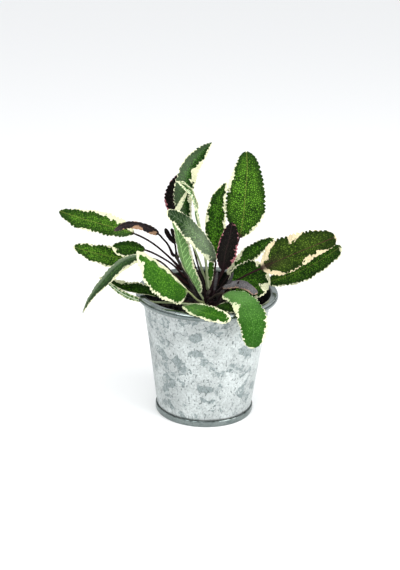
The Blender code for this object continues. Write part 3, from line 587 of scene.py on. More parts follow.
def sage_leaf_material(name, finish, seed, settings):
    """Finish of one leaf: pebbled face with painted light and shade, veins, pale margin, felt,
    underside and stalk.
    """
    tones = FINISHES[finish]
    material, tree, shader = new_material("sage " + name.replace("_", " "))
    along, across, edge = kept_parts(tree, "leaf_place")
    reach, upper, stalk = kept_parts(tree, "leaf_finish")
    # felt, partly a painted sheen highlight, and the painted light and shade of the covers
    felt_and_sheen_times, painted_light_times, _ = kept_parts(tree, "leaf_felt_and_light")
    pebble = group_node(tree, pebble_group(), {"Along": along, "Across": across, "Seed": seed
        * 7.3, "Pebble Size": settings.pebble_size, "Vein Spacing": settings.vein_spacing})
    margin = group_node(tree, margin_group(), {"Edge": edge, "Along": along, "Across": across,
        "Reach": reach, "Tooth Pitch": settings.tooth_pitch, "Seed": seed * 3.1})
    felt = group_node(tree, felt_group(), {"Along": along, "Across": across,
        "Amount": tones["felt"]})
    # painted shade darkens the tone towards the edges of the blade and painted light lifts it
    # inside; the covers add more painted light and shade
    inward = times_plus(tree, ramp(tree, edge, 0.0, 9.0), 1.12, 0.12)
    tone = times(tree, pebble["Tone"], times(tree, inward, painted_light_times))
    # the face runs from the dark colour in painted shade to the light colour in painted light
    face = blend_colour(tree, tone, tones["dark"], tones["light"])
    face = blend_colour(tree, times(tree, pebble["Vein"], tones["veins"]), face, tones["vein"])
    face = blend_colour(tree, times(tree, pebble["Rib"], tones["rib"]), face, tones["vein"])
    halo_tone = tuple(0.5 * a + 0.12 * b for a, b in zip(tones["light"], tones["margin"]))
    face = blend_colour(tree, times(tree, margin["Halo"], 0.2), face, halo_tone)
    # the pale margin and the underside take the same painted light and shade of the pebbles
    pale = blend_colour(tree, pebble["Tone"], shade(tones["margin"], 0.78), tones["margin"])
    face = blend_colour(tree, margin["Pale"], face, pale)
    back = blend_colour(tree, pebble["Tone"], shade(tones["under"], 0.6), tones["under"])
    ridge = calc(tree, "MAXIMUM", pebble["Vein"], pebble["Rib"])
    back = blend_colour(tree, times(tree, ridge, 0.3 + 0.7 * tones["veins"]), back,
        tuple(min(0.85, (1.6 + 1.6 * tones["veins"]) * c) for c in tones["under"]))
    back = blend_colour(tree, margin["Pale"], back, pale)
    colour = blend_colour(tree, upper, back, face)
    # felt hairs; where the covers raise the felt it is partly a painted sheen highlight
    fuzz = times(tree, times_plus(tree, felt["Hairs"], 0.7, 0.3),
        times(tree, felt_and_sheen_times, tones["felt"]), clamp=True)
    colour = blend_colour(tree, times(tree, fuzz, 0.9), colour, tones["hair"])
    colour = blend_colour(tree, stalk, colour, tones["stalk"])
    feed(tree, shader.inputs["Base Color"], colour)
    feed(tree, shader.inputs["Roughness"], times_plus(tree, pebble["Tone"], -0.12, 0.72 + 0.15
        * tones["felt"]))
    shader.inputs["Specular IOR Level"].default_value = 0.05
    shader.inputs["Sheen Weight"].default_value = 0.15 * tones["felt"]
    shader.inputs["Sheen Roughness"].default_value = 0.5
    height = times_plus(tree, felt["Hairs"], 0.3, pebble["Height"])
    carve(tree, shader, height, 0.6, 0.35)
    return material


def zinc_material(settings):
    """Galvanised sheet: crystals, mottling and specks, painted shade inside and under the bead,
    painted dark reflection lines and a highlight line on the bead, darker on the foot, smoother on
    its edges.
    """
    material, tree, shader = new_material("galvanised zinc")
    where = object_place(tree)
    scaled = vector_calc(tree, "SCALE", {0: where, "Scale": 1 / MM})
    inner_shade, shade_and_dark_marks, polish_and_highlight = kept_parts(tree, "pot_shade_and_finish")
    zinc = group_node(tree, spangle_group(),
        {"Vector": scaled, "Patch Size": settings.spangle_size})
    base = tuple(settings.zinc_colour)
    colour = blend_colour(tree, zinc["Mottle"], shade(base, 0.62), base)
    colour = blend_colour(tree, times(tree, zinc["Bloom"], 0.6), colour, shade(base, 0.55))
    torn = times(tree, zinc["Patch"], times_plus(tree, zinc["Mottle"], -0.4, 0.95))
    colour = blend_colour(tree, torn, colour, tuple(settings.spangle_colour))
    marks = calc(tree, "MAXIMUM", times(tree, zinc["Speck"], 0.7), times(tree, zinc["Line"], 0.8))
    colour = blend_colour(tree, marks, colour, (0.07, 0.09, 0.09))
    # the rim and foot take the edge colour, lighter along the painted highlight line on the bead
    colour = blend_colour(tree, times(tree, polish_and_highlight, 0.75), colour, tuple(settings.edge_colour))
    # painted shade and darker marks from the pot's kept values
    darkened = times(tree, shade_and_dark_marks, times_plus(tree, zinc["Mottle"], 0.5, 0.5))
    colour = blend_colour(tree, darkened, colour, (0.025, 0.034, 0.03))
    # painted shade: the inside of the pot is made near-black metal
    colour = blend_colour(tree, inner_shade, colour, (0.012, 0.016, 0.013))
    feed(tree, shader.inputs["Base Color"], colour)
    rough = times_plus(tree, zinc["Patch"], -0.08, 0.5)
    rough = times_plus(tree, polish_and_highlight, -0.34, rough)
    feed(tree, shader.inputs["Roughness"], times_plus(tree, inner_shade, 0.3, rough))
    share = times_plus(tree, polish_and_highlight, 0.95 - settings.metal_share, settings.metal_share)
    feed(tree, shader.inputs["Metallic"], calc(tree, "MAXIMUM", share, inner_shade))
    height = times(tree, zinc["Height"], times_plus(tree, polish_and_highlight, -0.8, 1.0))
    carve(tree, shader, height, 0.4, 0.3)
    return material


def soil_material(settings):
    """Dark moist compost with fibres and paler grains, made near black as painted shade inside the
    pot.
    """
    material, tree, shader = new_material("potting soil")
    where = object_place(tree)
    grain = noise_at(tree, where, 420.0, 6.0)
    clod = cell_colour(tree, where, 330.0, 0)
    dark = tuple(settings.soil_colour)
    colour = blend_colour(tree, ramp(tree, grain, 0.4, 0.7), dark, shade(dark, 2.6))
    colour = blend_colour(tree, ramp(tree, clod, 0.9, 0.97), colour, (0.03, 0.02, 0.012))
    feed(tree, shader.inputs["Base Color"], colour)
    feed(tree, shader.inputs["Roughness"], times_plus(tree, grain, -0.2, 1.0))
    shader.inputs["Specular IOR Level"].default_value = 0.15
    carve(tree, shader, grain, 0.8, 0.6)
    return material


def bark_material():
    """Young woody stem: purple-brown with pale ridges."""
    material, tree, shader = new_material("sage stem")
    where = object_place(tree)
    stretch = vector_calc(tree, "MULTIPLY", {0: where, 1: (1400.0, 1400.0, 220.0)})
    ridge = noise_at(tree, stretch, 1.0, 4.0)
    colour = blend_colour(tree, ramp(tree, ridge, 0.4, 0.65), (0.01, 0.006, 0.006),
        (0.05, 0.036, 0.028))
    feed(tree, shader.inputs["Base Color"], colour)
    feed(tree, shader.inputs["Roughness"], times_plus(tree, ridge, 0.3, 0.6))
    carve(tree, shader, ridge, 0.6, 0.4)
    return material


# ---------------------------------------------------------------- shapes
def to_piece(name, builder, material, node):
    """Finish a bmesh as a named piece that stands for a node of the model."""
    mesh = bpy.data.meshes.new(name)
    builder.to_mesh(mesh)
    builder.free()
    mesh.shade_smooth()
    mesh.materials.append(material)
    piece = bpy.data.objects.new(name, mesh)
    bpy.context.scene.collection.objects.link(piece)
    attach(piece, "root")
    if node:
        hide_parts(node)
    return piece


def bridge(builder, loops, close_ends=True):
    """Skin a list of vertex loops, each closed on itself."""
    for lower, upper in zip(loops, loops[1:]):
        for i in range(len(lower)):
            j = (i + 1) % len(lower)
            builder.faces.new((lower[i], lower[j], upper[j], upper[i]))
    if close_ends:
        builder.faces.new(list(reversed(loops[0])))
        builder.faces.new(loops[-1])


def clamp(value):
    """A value held between 0 and 1."""
    return max(0.0, min(1.0, value))


def band(value, middle, half):
    """1 in the middle of a band, falling to 0 at its ends."""
    return max(0.0, 1 - abs(value - middle) / half)


def round_place(turn, radius, height):
    """Point at a direction and radius from the pot's axis."""
    return radius * math.cos(turn) * MM, radius * math.sin(turn) * MM, height * MM


def smooth_line(points, place):
    """Point on a rounded line through the points; place counts points from 0."""
    last = len(points) - 1
    index = min(int(place), last - 1)
    part = place - index
    here, there = points[index], points[index + 1]
    before = points[index - 1] if index else here * 2 - there
    after = points[index + 2] if index + 2 <= last else there * 2 - here
    return 0.5 * (2 * here + (there - before) * part + (2 * before - 5 * here + 4 * there - after)
        * part ** 2 + (3 * here - before - 3 * there + after) * part ** 3)


def heading_at(points, place):
    """Unit direction of the rounded line at a place."""
    step = 0.02
    ahead = smooth_line(points, min(place + step, len(points) - 1))
    behind = smooth_line(points, max(place - step, 0))
    return (ahead - behind).normalized()


def shoot_line(name):
    """Line of a shoot above the soil, in millimetres."""
    return [Vector((x, y, SOIL_TOP + height)) for x, y, height in SHOOTS[name][1]]


def joint_on_shoot(name, height, heading, first_point):
    """Centre of the shoot at a joint, and where the stalk leaves it."""
    line = shoot_line(name)
    target = SOIL_TOP + height
    below = max(i for i in range(len(line) - 1) if line[i].z <= target)
    share = (target - line[below].z) / (line[below + 1].z - line[below].z)
    centre = smooth_line(line, below + share)
    turn = math.radians(heading)
    outward = Vector((math.cos(turn), math.sin(turn), 0))
    slant = 1 - (first_point - centre).normalized().dot(outward) ** 2
    radius = SHOOTS[name][0] * (1 - SHOOT_TAPER * (below + share) / (len(line) - 1))
    return centre, centre + outward * (radius + JOINT_GAP + STALK_RADIUS * math.sqrt(slant))


def outline(widths, share):
    """Half width of a blade at a share of its length, rounded off at both ends."""
    end = min(1.0, min(share, 1 - share) / ROUNDED_END)
    return smooth_line(widths, share * (len(widths) - 1)) * math.sqrt(1 - (1 - end) ** 2)


def margin_reach(looks, side, share):
    """How far the pale margin reaches in from the edge, in millimetres."""
    reach = looks[1] if side < 0 else looks[2]
    for patch_side, start, end, depth in looks[3]:
        if patch_side == side and start <= share <= end:
            soft = min(1.0, 10 * (share - start) + 0.4, 10 * (end - share) + 0.4)
            reach = max(reach, depth * soft)
    return reach


def felt_and_light_at(looks, across, share):
    """Times the felt, partly a painted sheen highlight, and times the painted light and shade at a
    place on the blade.
    """
    felt = bright = 1.0
    for side, start, end, times_felt_and_sheen, times_bright in looks[4]:
        inside = clamp(8 * (share - start)) * clamp(8 * (end - share))
        if abs(side) == 1:
            inside *= clamp(0.5 + 2.0 * side * across)
        elif side:
            inside *= clamp(1.8 * side * across - 1.0)
        # felt is partly a painted sheen highlight; bright paints light and shade
        felt *= 1 + (times_felt_and_sheen - 1) * inside
        bright *= 1 + (times_bright - 1) * inside
    return felt, bright, 0.0


def leaf_rows(line, base, row_step):
    """Length of the blade, and the place on the line and the share of the blade of each row."""
    span = len(line) - 1 - base
    length = sum((smooth_line(line, base + span * (i + 1) / LENGTH_PARTS) - smooth_line(line,
        base + span * i / LENGTH_PARTS)).length for i in range(LENGTH_PARTS))
    rows = [(base * i / STALK_ROWS, 0.0) for i in range(STALK_ROWS)]
    blade_rows = max(24, int(length / row_step))
    for i in range(blade_rows + 1):
        share = i / blade_rows
        share = TIP_END * (share + 0.12 * math.sin(2 * math.pi * share) / (2 * math.pi))
        rows.append((base + span * share, share))
    return length, rows


def build_leaf(name, route, looks, number, settings):
    """One leaf with its stalk as a closed skin, with its measures kept on every point."""
    (shoot, height, heading, stalk, blade, left_widths, right_widths, folds, face_base,
     face_tip) = route
    centre, start = joint_on_shoot(shoot, height, heading, Vector(stalk[0]))
    line = [start] + [Vector(point) for point in stalk + blade]
    base = 1 + len(stalk)
    length, rows = leaf_rows(line, base, settings.row_step)
    columns = max(5, round(max(left_widths + right_widths) / COLUMN_WIDTH))
    spread = [math.sin(math.pi / 2 * i / columns) for i in range(-columns, columns + 1)]
    rng = random.Random(number)
    phase = rng.uniform(0, 6.28)
    ripple = rng.uniform(0.035, 0.06)
    stained = STALK_STAIN.get(name, 0.06)
    thin = settings.leaf_thickness / 2
    builder = bmesh.new()
    loops, places, finishes, felt_and_light = [], [], [], []
    for index, (place, share) in enumerate(rows):
        on_stalk = index < STALK_ROWS
        along = heading_at(line, place)
        face = Vector(face_base).lerp(Vector(face_tip), share)
        face = (face - along * face.dot(along)).normalized()
        right = along.cross(face)
        middle = smooth_line(line, place) if index else centre.lerp(start, 0.55)
        done = share * length
        flare = 1 + 0.9 * max(0.0, 1 - 2.2 * place / base) ** 2 if on_stalk else 1.0
        round_part = 1.0 if on_stalk else max(0.0, 1 - share / 0.8) ** 1.3
        stalk_part = (STALK_RADIUS * flare) ** 3 * (1 if share < 0.5 else (1 - share) * 2)
        loop = []
        for row, order in ((1, spread), (-1, spread[::-1])):
            for a in order:
                side = 1 if a > 0 else -1
                widths = left_widths if side < 0 else right_widths
                wide = 0.0 if on_stalk else outline(widths, share)
                wide = (wide ** 3 + stalk_part) ** (1 / 3)
                size = min(1.0, wide / 3)
                uneven = noise.noise(Vector((done * 0.17, side * 2.0, number + 0.5)))
                tooth = (done + 1.6 * uneven + 0.2 * side) / settings.tooth_pitch
                notch = (1 - abs(math.sin(math.pi * tooth)) ** 0.8) * (1 + 1.1 * uneven)
                notch *= 0 if on_stalk else settings.tooth_depth * min(1.0, wide / 12)
                out = a * wide - side * notch * abs(a) ** 8
                span = abs(out)
                rib = math.exp(-(out / RIB_WIDTH) ** 2)
                lens = math.sqrt(max(0.0, 1 - a * a))
                rounding = round_part * STALK_RADIUS * flare * lens
                swell = 0.0
                if not on_stalk:
                    rounding *= rib
                    wander = noise.noise(Vector((done * 0.1, out * 0.1, number)))
                    slant = done - VEIN_SLANT * span + 0.6 * wander
                    dome = abs(math.sin(math.pi * slant / settings.vein_spacing)) ** 0.6
                    swell = settings.vein_relief * (dome - 0.6) * size
                    swell *= (1 - rib) * (1 - abs(a) ** 6)
                    turn = 2 * math.pi * done / 13 + phase + side
                    swell += ripple * wide * math.sin(turn) * a * a * size
                    if row == 1:
                        swell -= RIB_GROOVE * rib * (1 - share)
                swell += row * max(thin * (1 - THIN_EDGE * a ** 6), rounding)
                fold = math.radians(folds[0 if side < 0 else 1]) * size
                lift = span * math.sin(fold) + swell
                point = middle + right * out * math.cos(fold) + face * lift
                loop.append(builder.verts.new(point * MM))
                edge = min((1 - abs(a)) * wide, (1 - share) * length * 0.6)
                places.append((done, out, 9.0 if on_stalk else edge))
                reach = 0.0
                stalk_tone = 1.0
                if not on_stalk:
                    reach = margin_reach(looks, side, share + VEIN_SLANT * (wide - span) / length)
                    reach *= 1 + 0.7 * noise.noise(Vector((done * 0.16, side * 3.0, number)))
                    stalk_tone = max(0.0, 1 - share / stained)
                    stalk_tone *= clamp(1.6 - span / (2 + 12 * share))
                finishes.append((reach, 1.0 if row == 1 else 0.0, stalk_tone))
                # felt, partly a painted sheen highlight, and painted light and shade at this point
                felt_and_light.append(felt_and_light_at(looks, out / max(wide, 1.0), share))
        loops.append(loop)
    bridge(builder, loops)
    bmesh.ops.recalc_face_normals(builder, faces=builder.faces)
    material = sage_leaf_material(name, looks[0], number, settings)
    piece = to_piece("sage_" + name, builder, material, "leaf_" + name if name in ROUTES else None)
    keep_values(piece, "leaf_place", places)
    keep_values(piece, "leaf_finish", finishes)
    keep_values(piece, "leaf_felt_and_light", felt_and_light)


def wall_radius(height):
    """Outside radius of the tapered sheet at a height."""
    share = height / (POT_TOP - BEAD_RADIUS)
    return WALL_FOOT_RADIUS + (WALL_TOP_RADIUS - WALL_FOOT_RADIUS) * share


def lathe(name, profile, material, node, shade_and_finish, dent=None):
    """Turn a closed outline round the Z axis; a function keeps the painted shade and finish of
    each point, dent moves its points.
    """
    builder = bmesh.new()
    loops, values = [], []
    for radius, height in profile:
        loop = []
        for i in range(POT_STEPS):
            turn = 2 * math.pi * i / POT_STEPS
            reach = radius + (dent(turn, height, radius) if dent else 0.0)
            loop.append(builder.verts.new(round_place(turn, reach, height)))
            values.append(shade_and_finish(turn, height, radius))
        loops.append(loop)
    bridge(builder, loops + loops[:1], close_ends=False)
    bmesh.ops.recalc_face_normals(builder, faces=builder.faces)
    piece = to_piece(name, builder, material, node)
    keep_values(piece, "pot_shade_and_finish", values)


def keep_values(piece, name, values):
    """Keep one vector for each point of a piece, for its material to read."""
    store = piece.data.attributes.new(name, "FLOAT_VECTOR", "POINT")
    store.data.foreach_set("vector", [part for value in values for part in value])


def wall_dent(depth):
    """Shallow waves and folds of thin sheet, and the lapped seam at the back."""
    def move(turn, height, radius):
        if height > POT_TOP - 2.5 * BEAD_RADIUS:
            return 0.0
        where = Vector((math.cos(turn) * 2.2, math.sin(turn) * 2.2, height * 0.03))
        wave = noise.noise(where) * depth
        fade = math.sin(math.pi * min(1.0, height / POT_TOP)) ** 0.5
        for angle, share, half in DENTS:
            gap = (turn - angle + math.pi) % (2 * math.pi) - math.pi
            wave -= share * depth * math.exp(-(gap / half) ** 2) * fade
        angle, width, thick, step = LAP
        lap = (turn - angle) * radius
        return min(wave, 0.05) + thick * clamp(lap / step) * clamp((width - lap) / step)
    return move


def wall_shade_and_finish(turn, height, radius):
    """Painted shade inside and under the bead, painted dark reflection lines and a painted
    highlight line on the bead, darker over the foot, polish on the bead.
    """
    # the inside of the wall below the lip takes painted shade
    inside = radius < wall_radius(height) - 0.5 * WALL_SHEET and height < POT_TOP - 2.0
    drips = noise.noise(Vector((math.cos(turn), math.sin(turn), 0.3)) * 9)
    # painted shade on the wall under the bead
    shade_and_dark_marks = 0.85 * band(height, BEAD_BOTTOM - 0.2, 1.1)
    polish_and_highlight = 0.0
    if radius > BEAD_START:
        section = (height - POT_TOP + BEAD_RADIUS) / BEAD_RADIUS
        # painted dark reflection lines and shade on the bead
        shade_and_dark_marks = max([shade_and_dark_marks] + [strength * band(section, middle, 0.3) for middle, strength
            in BEAD_LINES])
        # a band with less polish on the bead paints a lighter highlight line
        polish_and_highlight = 1.0 - 0.5 * band(section, 0.78, 0.2)
    elif height > POT_TOP - 2.0:
        # painted shade inside the top of the lip
        shade_and_dark_marks = max(shade_and_dark_marks, 0.7)
    # darker towards the bottom of the wall, up to a line with drips over the foot
    foot = FOOT_HEIGHT + 1.3 + 1.6 * max(0.0, drips)
    shade_and_dark_marks = max(shade_and_dark_marks, 0.95 * clamp((foot - height) / 0.6))
    return 1.0 if inside else 0.0, shade_and_dark_marks, polish_and_highlight


def foot_shade_and_finish(turn, height, radius):
    """Smoother seam, darker in broken patches along its upper edge and a little darker overall,
    with painted shade on its inner faces under the pot.
    """
    top_patches = noise.noise(Vector((math.cos(turn), math.sin(turn), 1.3)) * 14)
    top = clamp((height - FOOT_HEIGHT + 0.9) / 0.5)
    # painted shade on the inner faces under the pot
    inner = 0.9 if radius < FOOT_RADIUS - 1.3 else 0.2
    return 0.0, max(inner, top * 2.6 * top_patches), 0.9


def build_pot(settings):
    """Tapered sheet with a rolled rim, and the disc with its crimped foot."""
    zinc = zinc_material(settings)
    disc_top = BASE_RECESS + BASE_SHEET
    foot = disc_top + SEAT_GAP
    bead_height = POT_TOP - BEAD_RADIUS
    groove = bead_height - BEAD_RADIUS - 0.3
    profile = [(wall_radius(foot) - WALL_SHEET, foot)]
    for row in range(WALL_ROWS + 1):
        height = foot + (groove - foot) * row / WALL_ROWS
        profile.append((wall_radius(height), height))
    for step in range(BEAD_ROWS + 1):
        angle = math.radians(-118 + 208 * step / BEAD_ROWS)
        profile.append((RIM_RADIUS - BEAD_RADIUS + BEAD_RADIUS * math.cos(angle), bead_height
            + BEAD_RADIUS * math.sin(angle)))
    inner_top = wall_radius(bead_height) - WALL_SHEET
    profile += [(inner_top + out, POT_TOP - down) for out, down in ((1.6, 0.05), (0.8, 0.4),
        (0.2, 1.1), (0.0, BEAD_RADIUS))]
    for row in range(INNER_ROWS):
        height = bead_height - (bead_height - SOIL_TOP + 6) * (row + 1) / INNER_ROWS
        profile.append((wall_radius(height) - WALL_SHEET, height))
    lathe("zinc_wall", profile, zinc, "pot_wall", wall_shade_and_finish, wall_dent(settings.dent_depth))
    profile = [(0.2, disc_top), (0.2, BASE_RECESS), (30.0, BASE_RECESS), (36.0, BASE_RECESS)]
    profile += [(FOOT_RADIUS - inward, height) for inward, height in ((2.9, BASE_RECESS),
        (2.5, 0.9), (2.2, 0.25), (1.9, 0.0), (0.9, 0.0), (0.45, 0.12), (0.2, 0.4), (0.05, 0.9),
        (0.0, 2.4), (0.05, 3.8), (0.15, 4.5), (0.35, 5.0), (0.7, FOOT_HEIGHT),
        (1.1, FOOT_HEIGHT - 0.05))]
    profile += [(wall_radius(FOOT_HEIGHT) + 0.25, FOOT_HEIGHT - 0.6), (wall_radius(disc_top) + 0.3,
        disc_top)]
    lathe("zinc_foot", profile, zinc, "pot_base", foot_shade_and_finish)


def build_soil(settings):
    """Lumpy soil surface with loose crumbs, on the solid that fills the pot."""
    builder = bmesh.new()
    steps, rings = 150, 56
    turns = [2 * math.pi * i / steps for i in range(steps)]
    loops = []
    for height in (BASE_RECESS + BASE_SHEET + SEAT_GAP, SOIL_TOP - 2.0):
        radius = wall_radius(height) - WALL_SHEET - SEAT_GAP
        loops.append([builder.verts.new(round_place(turn, radius, height)) for turn in turns])
    edge = wall_radius(SOIL_TOP) - WALL_SHEET - 0.4
    for ring in range(rings):
        radius = edge * (1 - ring / rings)
        loop = []
        for turn in turns:
            x, y = radius * math.cos(turn), radius * math.sin(turn)
            wave = math.sin(0.21 * x + 0.6) * math.cos(0.17 * y)
            wave += 0.6 * math.sin(0.13 * x - 0.24 * y)
            lump = noise.fractal(Vector((x, y, 3.0)) * 0.35, 1.0, 2.0, 4)
            height = SOIL_TOP + SOIL_WAVE * wave + settings.crumb_size * 0.5 * lump
            loop.append(builder.verts.new((x * MM, y * MM, height * MM)))
        loops.append(loop)
    bridge(builder, loops)
    rng = random.Random(5)
    for _ in range(settings.crumb_count):
        radius = edge * 0.97 * math.sqrt(rng.random())
        turn = rng.uniform(0, 2 * math.pi)
        x, y = radius * math.cos(turn), radius * math.sin(turn)
        size = settings.crumb_size * rng.uniform(0.3, 1.0)
        made = bmesh.ops.create_icosphere(builder, subdivisions=1, radius=size * MM,
            matrix=Matrix.Translation((x * MM, y * MM, (SOIL_TOP + 0.3 * size) * MM)))
        for corner in made["verts"]:
            push = noise.noise(corner.co * 900) * 0.5 * size * MM
            corner.co += (corner.co - Vector((x, y, SOIL_TOP)) * MM).normalized() * push
    bmesh.ops.recalc_face_normals(builder, faces=builder.faces)
    to_piece("soil_bed", builder, soil_material(settings), "soil")


def build_shoots():
    """Young stems with swollen joints and faint ridges."""
    bark = bark_material()
    facets = 28
    for number, name in enumerate(SHOOTS):
        radius, _ = SHOOTS[name]
        line = shoot_line(name)
        joints = [SOIL_TOP + route[1] for route in ROUTES.values() if route[0] == name]
        rows = 60
        builder = bmesh.new()
        loops = []
        for row in range(-8, rows + 1):
            place = max(0.0, (len(line) - 1) * row / rows)
            along = heading_at(line, place) if place else Vector((0, 0, 1))
            centre = smooth_line(line, place) + Vector((0, 0, min(0, row) * 1.0))
            side = along.cross(Vector((0, 1, 0))).normalized()
            other = along.cross(side)
            size = radius * (1 - SHOOT_TAPER * place / (len(line) - 1))
            size *= 1 + 0.16 * sum(math.exp(-((centre.z - z) / 1.3) ** 2) for z in joints)
            size *= min(1.0, 0.35 + 0.2 * (rows - row))
            loop = []
            for i in range(facets):
                turn = 2 * math.pi * i / facets
                ridge = 1 + 0.05 * math.cos(4 * turn) + 0.03 * noise.noise(
                    Vector((math.cos(turn) * 2, math.sin(turn) * 2, centre.z * 0.3 + number)))
                loop.append(builder.verts.new((centre + size * ridge
                    * (side * math.cos(turn) + other * math.sin(turn))) * MM))
            loops.append(loop)
        bridge(builder, loops)
        bmesh.ops.recalc_face_normals(builder, faces=builder.faces)
        to_piece("shoot_" + name, builder, bark, "stem_" + name)


# ---------------------------------------------------------------- settings
class SagePotSettings(bpy.types.PropertyGroup):
    """Sizes and colours of the zinc pot."""
    spangle_size: FloatProperty(name="Spangle size", default=8.0, min=2.0, max=30.0,
        description="Width of a patch of zinc crystals in millimetres")
    dent_depth: FloatProperty(name="Dent depth", default=0.35, min=0.0, max=2.0,
        description="Depth of the waves in the sheet in millimetres")
    metal_share: FloatProperty(name="Metal share", default=0.35, min=0.0, max=1.0,
        subtype="FACTOR", description="How metallic the dulled zinc looks")
    edge_colour: FloatVectorProperty(name="Edges", default=(0.125, 0.162, 0.155), size=3,
        subtype="COLOR", min=0.0, max=1.0, description="Colour of the rolled rim and the foot")
    zinc_colour: FloatVectorProperty(name="Zinc", default=(0.6, 0.645, 0.635), size=3,
        subtype="COLOR", min=0.0, max=1.0, description="Colour of the dull zinc")
    spangle_colour: FloatVectorProperty(name="Spangle", default=(0.135, 0.18, 0.18), size=3,
        subtype="COLOR", min=0.0, max=1.0, description="Colour of the darker crystals")


class SageSoilSettings(bpy.types.PropertyGroup):
    """Sizes and colour of the soil."""
    crumb_size: FloatProperty(name="Crumb size", default=1.6, min=0.3, max=4.0,
        description="Radius of the largest crumbs in millimetres")
    crumb_count: IntProperty(name="Crumbs", default=700, min=0, max=5000,
        description="Number of loose crumbs on the surface")
    # near black: the soil's own dark colour, darkened further as painted shade inside the pot
    soil_colour: FloatVectorProperty(name="Soil", default=(0.0022, 0.0019, 0.0016), size=3,
        subtype="COLOR", min=0.0, max=1.0, description="Colour of moist soil")


class SageLeafSettings(bpy.types.PropertyGroup):
    """Sizes of a sage leaf's surface."""
    leaf_thickness: FloatProperty(name="Thickness", default=0.5, min=0.2, max=1.5,
        description="Thickness of a blade in millimetres")
    tooth_pitch: FloatProperty(name="Tooth pitch", default=3.3, min=0.5, max=6.0,
        description="Distance between teeth of the edge in millimetres")
    tooth_depth: FloatProperty(name="Tooth depth", default=1.5, min=0.0, max=3.0,
        description="Depth of the notches of the edge in millimetres")
    pebble_size: FloatProperty(name="Pebble size", default=1.6, min=0.2, max=4.0,
        description="Width of one pebble of the surface in millimetres")
    vein_spacing: FloatProperty(name="Vein spacing", default=4.6, min=1.0, max=12.0,
        description="Distance between side veins in millimetres")
    vein_relief: FloatProperty(name="Vein relief", default=0.3, min=0.0, max=2.0,
        description="Height of the swelling between veins in millimetres")
    row_step: FloatProperty(name="Row step", default=0.55, min=0.2, max=3.0,
        description="Length of one mesh row of a blade in millimetres")


class SageStageSettings(bpy.types.PropertyGroup):
    """Light and floor of the studio."""
    key_power: FloatProperty(name="Key light", default=7.0, min=0.0, max=200.0, unit="POWER",
        description="Power of the large light above on the left")
    fill_power: FloatProperty(name="Fill light", default=11.0, min=0.0, max=200.0, unit="POWER",
        description="Power of the light on the right")
    sky_strength: FloatProperty(name="Sky", default=1.0, min=0.0, max=5.0,
        description="Strength of the even light all round")
    floor_colour: FloatVectorProperty(name="Floor", default=(0.9, 0.9, 0.9), size=3,
        subtype="COLOR", min=0.0, max=1.0, description="Colour of the plain floor")


# ---------------------------------------------------------------- operators
class SAGE_OT_zinc_pot(bpy.types.Operator):
    """Make the tapered zinc wall with its rolled rim, and the crimped foot"""
    bl_idname = "sage.zinc_pot"
    bl_label = "Zinc pot"

    def execute(self, context):
        build_pot(context.scene.sage_pot)
        return {"FINISHED"}


class SAGE_OT_soil(bpy.types.Operator):
    """Make the soil and its crumbs"""
    bl_idname = "sage.soil"
    bl_label = "Soil"

    def execute(self, context):
        build_soil(context.scene.sage_soil)
        return {"FINISHED"}


class SAGE_OT_shoots(bpy.types.Operator):
    """Make the stems of the plant"""
    bl_idname = "sage.shoots"
    bl_label = "Shoots"

    def execute(self, context):
        build_shoots()
        return {"FINISHED"}


def build_leaves(context, leaves, first_number):
    """Make each leaf of a group."""
    for number, (name, looks) in enumerate(leaves.items(), first_number):
        build_leaf(name, ROUTES[name], looks, number,
            context.scene.sage_leaf)


class SAGE_OT_sprouts(bpy.types.Operator):
    """Make the narrow young leaves at the crown and the small folded edges"""
    bl_idname = "sage.sprouts"
    bl_label = "Sprouts"

    def execute(self, context):
        for number, (name, (route, looks, slot)) in enumerate(SPROUTS.items(), 61):
            build_leaf(name, route, looks, number, context.scene.sage_leaf)
        return {"FINISHED"}


class SAGE_OT_green_leaves(bpy.types.Operator):
    """Make the grown green leaves with cream margins"""
    bl_idname = "sage.green_leaves"
    bl_label = "Green leaves"

    def execute(self, context):
        build_leaves(context, GREEN_LEAVES, 1)
        return {"FINISHED"}


class SAGE_OT_grey_leaves(bpy.types.Operator):
    """Make the felted grey-green leaves"""
    bl_idname = "sage.grey_leaves"
    bl_label = "Grey leaves"

    def execute(self, context):
        build_leaves(context, GREY_LEAVES, 31)
        return {"FINISHED"}


class SAGE_OT_purple_leaves(bpy.types.Operator):
    """Make the dark purple young leaves"""
    bl_idname = "sage.purple_leaves"
    bl_label = "Purple leaves"

    def execute(self, context):
        build_leaves(context, PURPLE_LEAVES, 51)
        return {"FINISHED"}


CAMERA_ELEVATION = math.radians(20.4)
CAMERA_ROLL = math.radians(1.45)
CAMERA_DISTANCE = 1.1
CAMERA_TARGET = Vector((-0.006, 0.0, 0.1115))
CAMERA_LENS = 83.0


def area_light(name, power, size, place, target):
    """A soft square light aimed at a point."""
    data = bpy.data.lights.new(name, "AREA")
    data.energy = power
    data.size = size
    lamp = bpy.data.objects.new(name, data)
    lamp.location = place
    lamp.rotation_euler = (target - Vector(place)).to_track_quat("-Z", "Y").to_euler()
    bpy.context.scene.collection.objects.link(lamp)


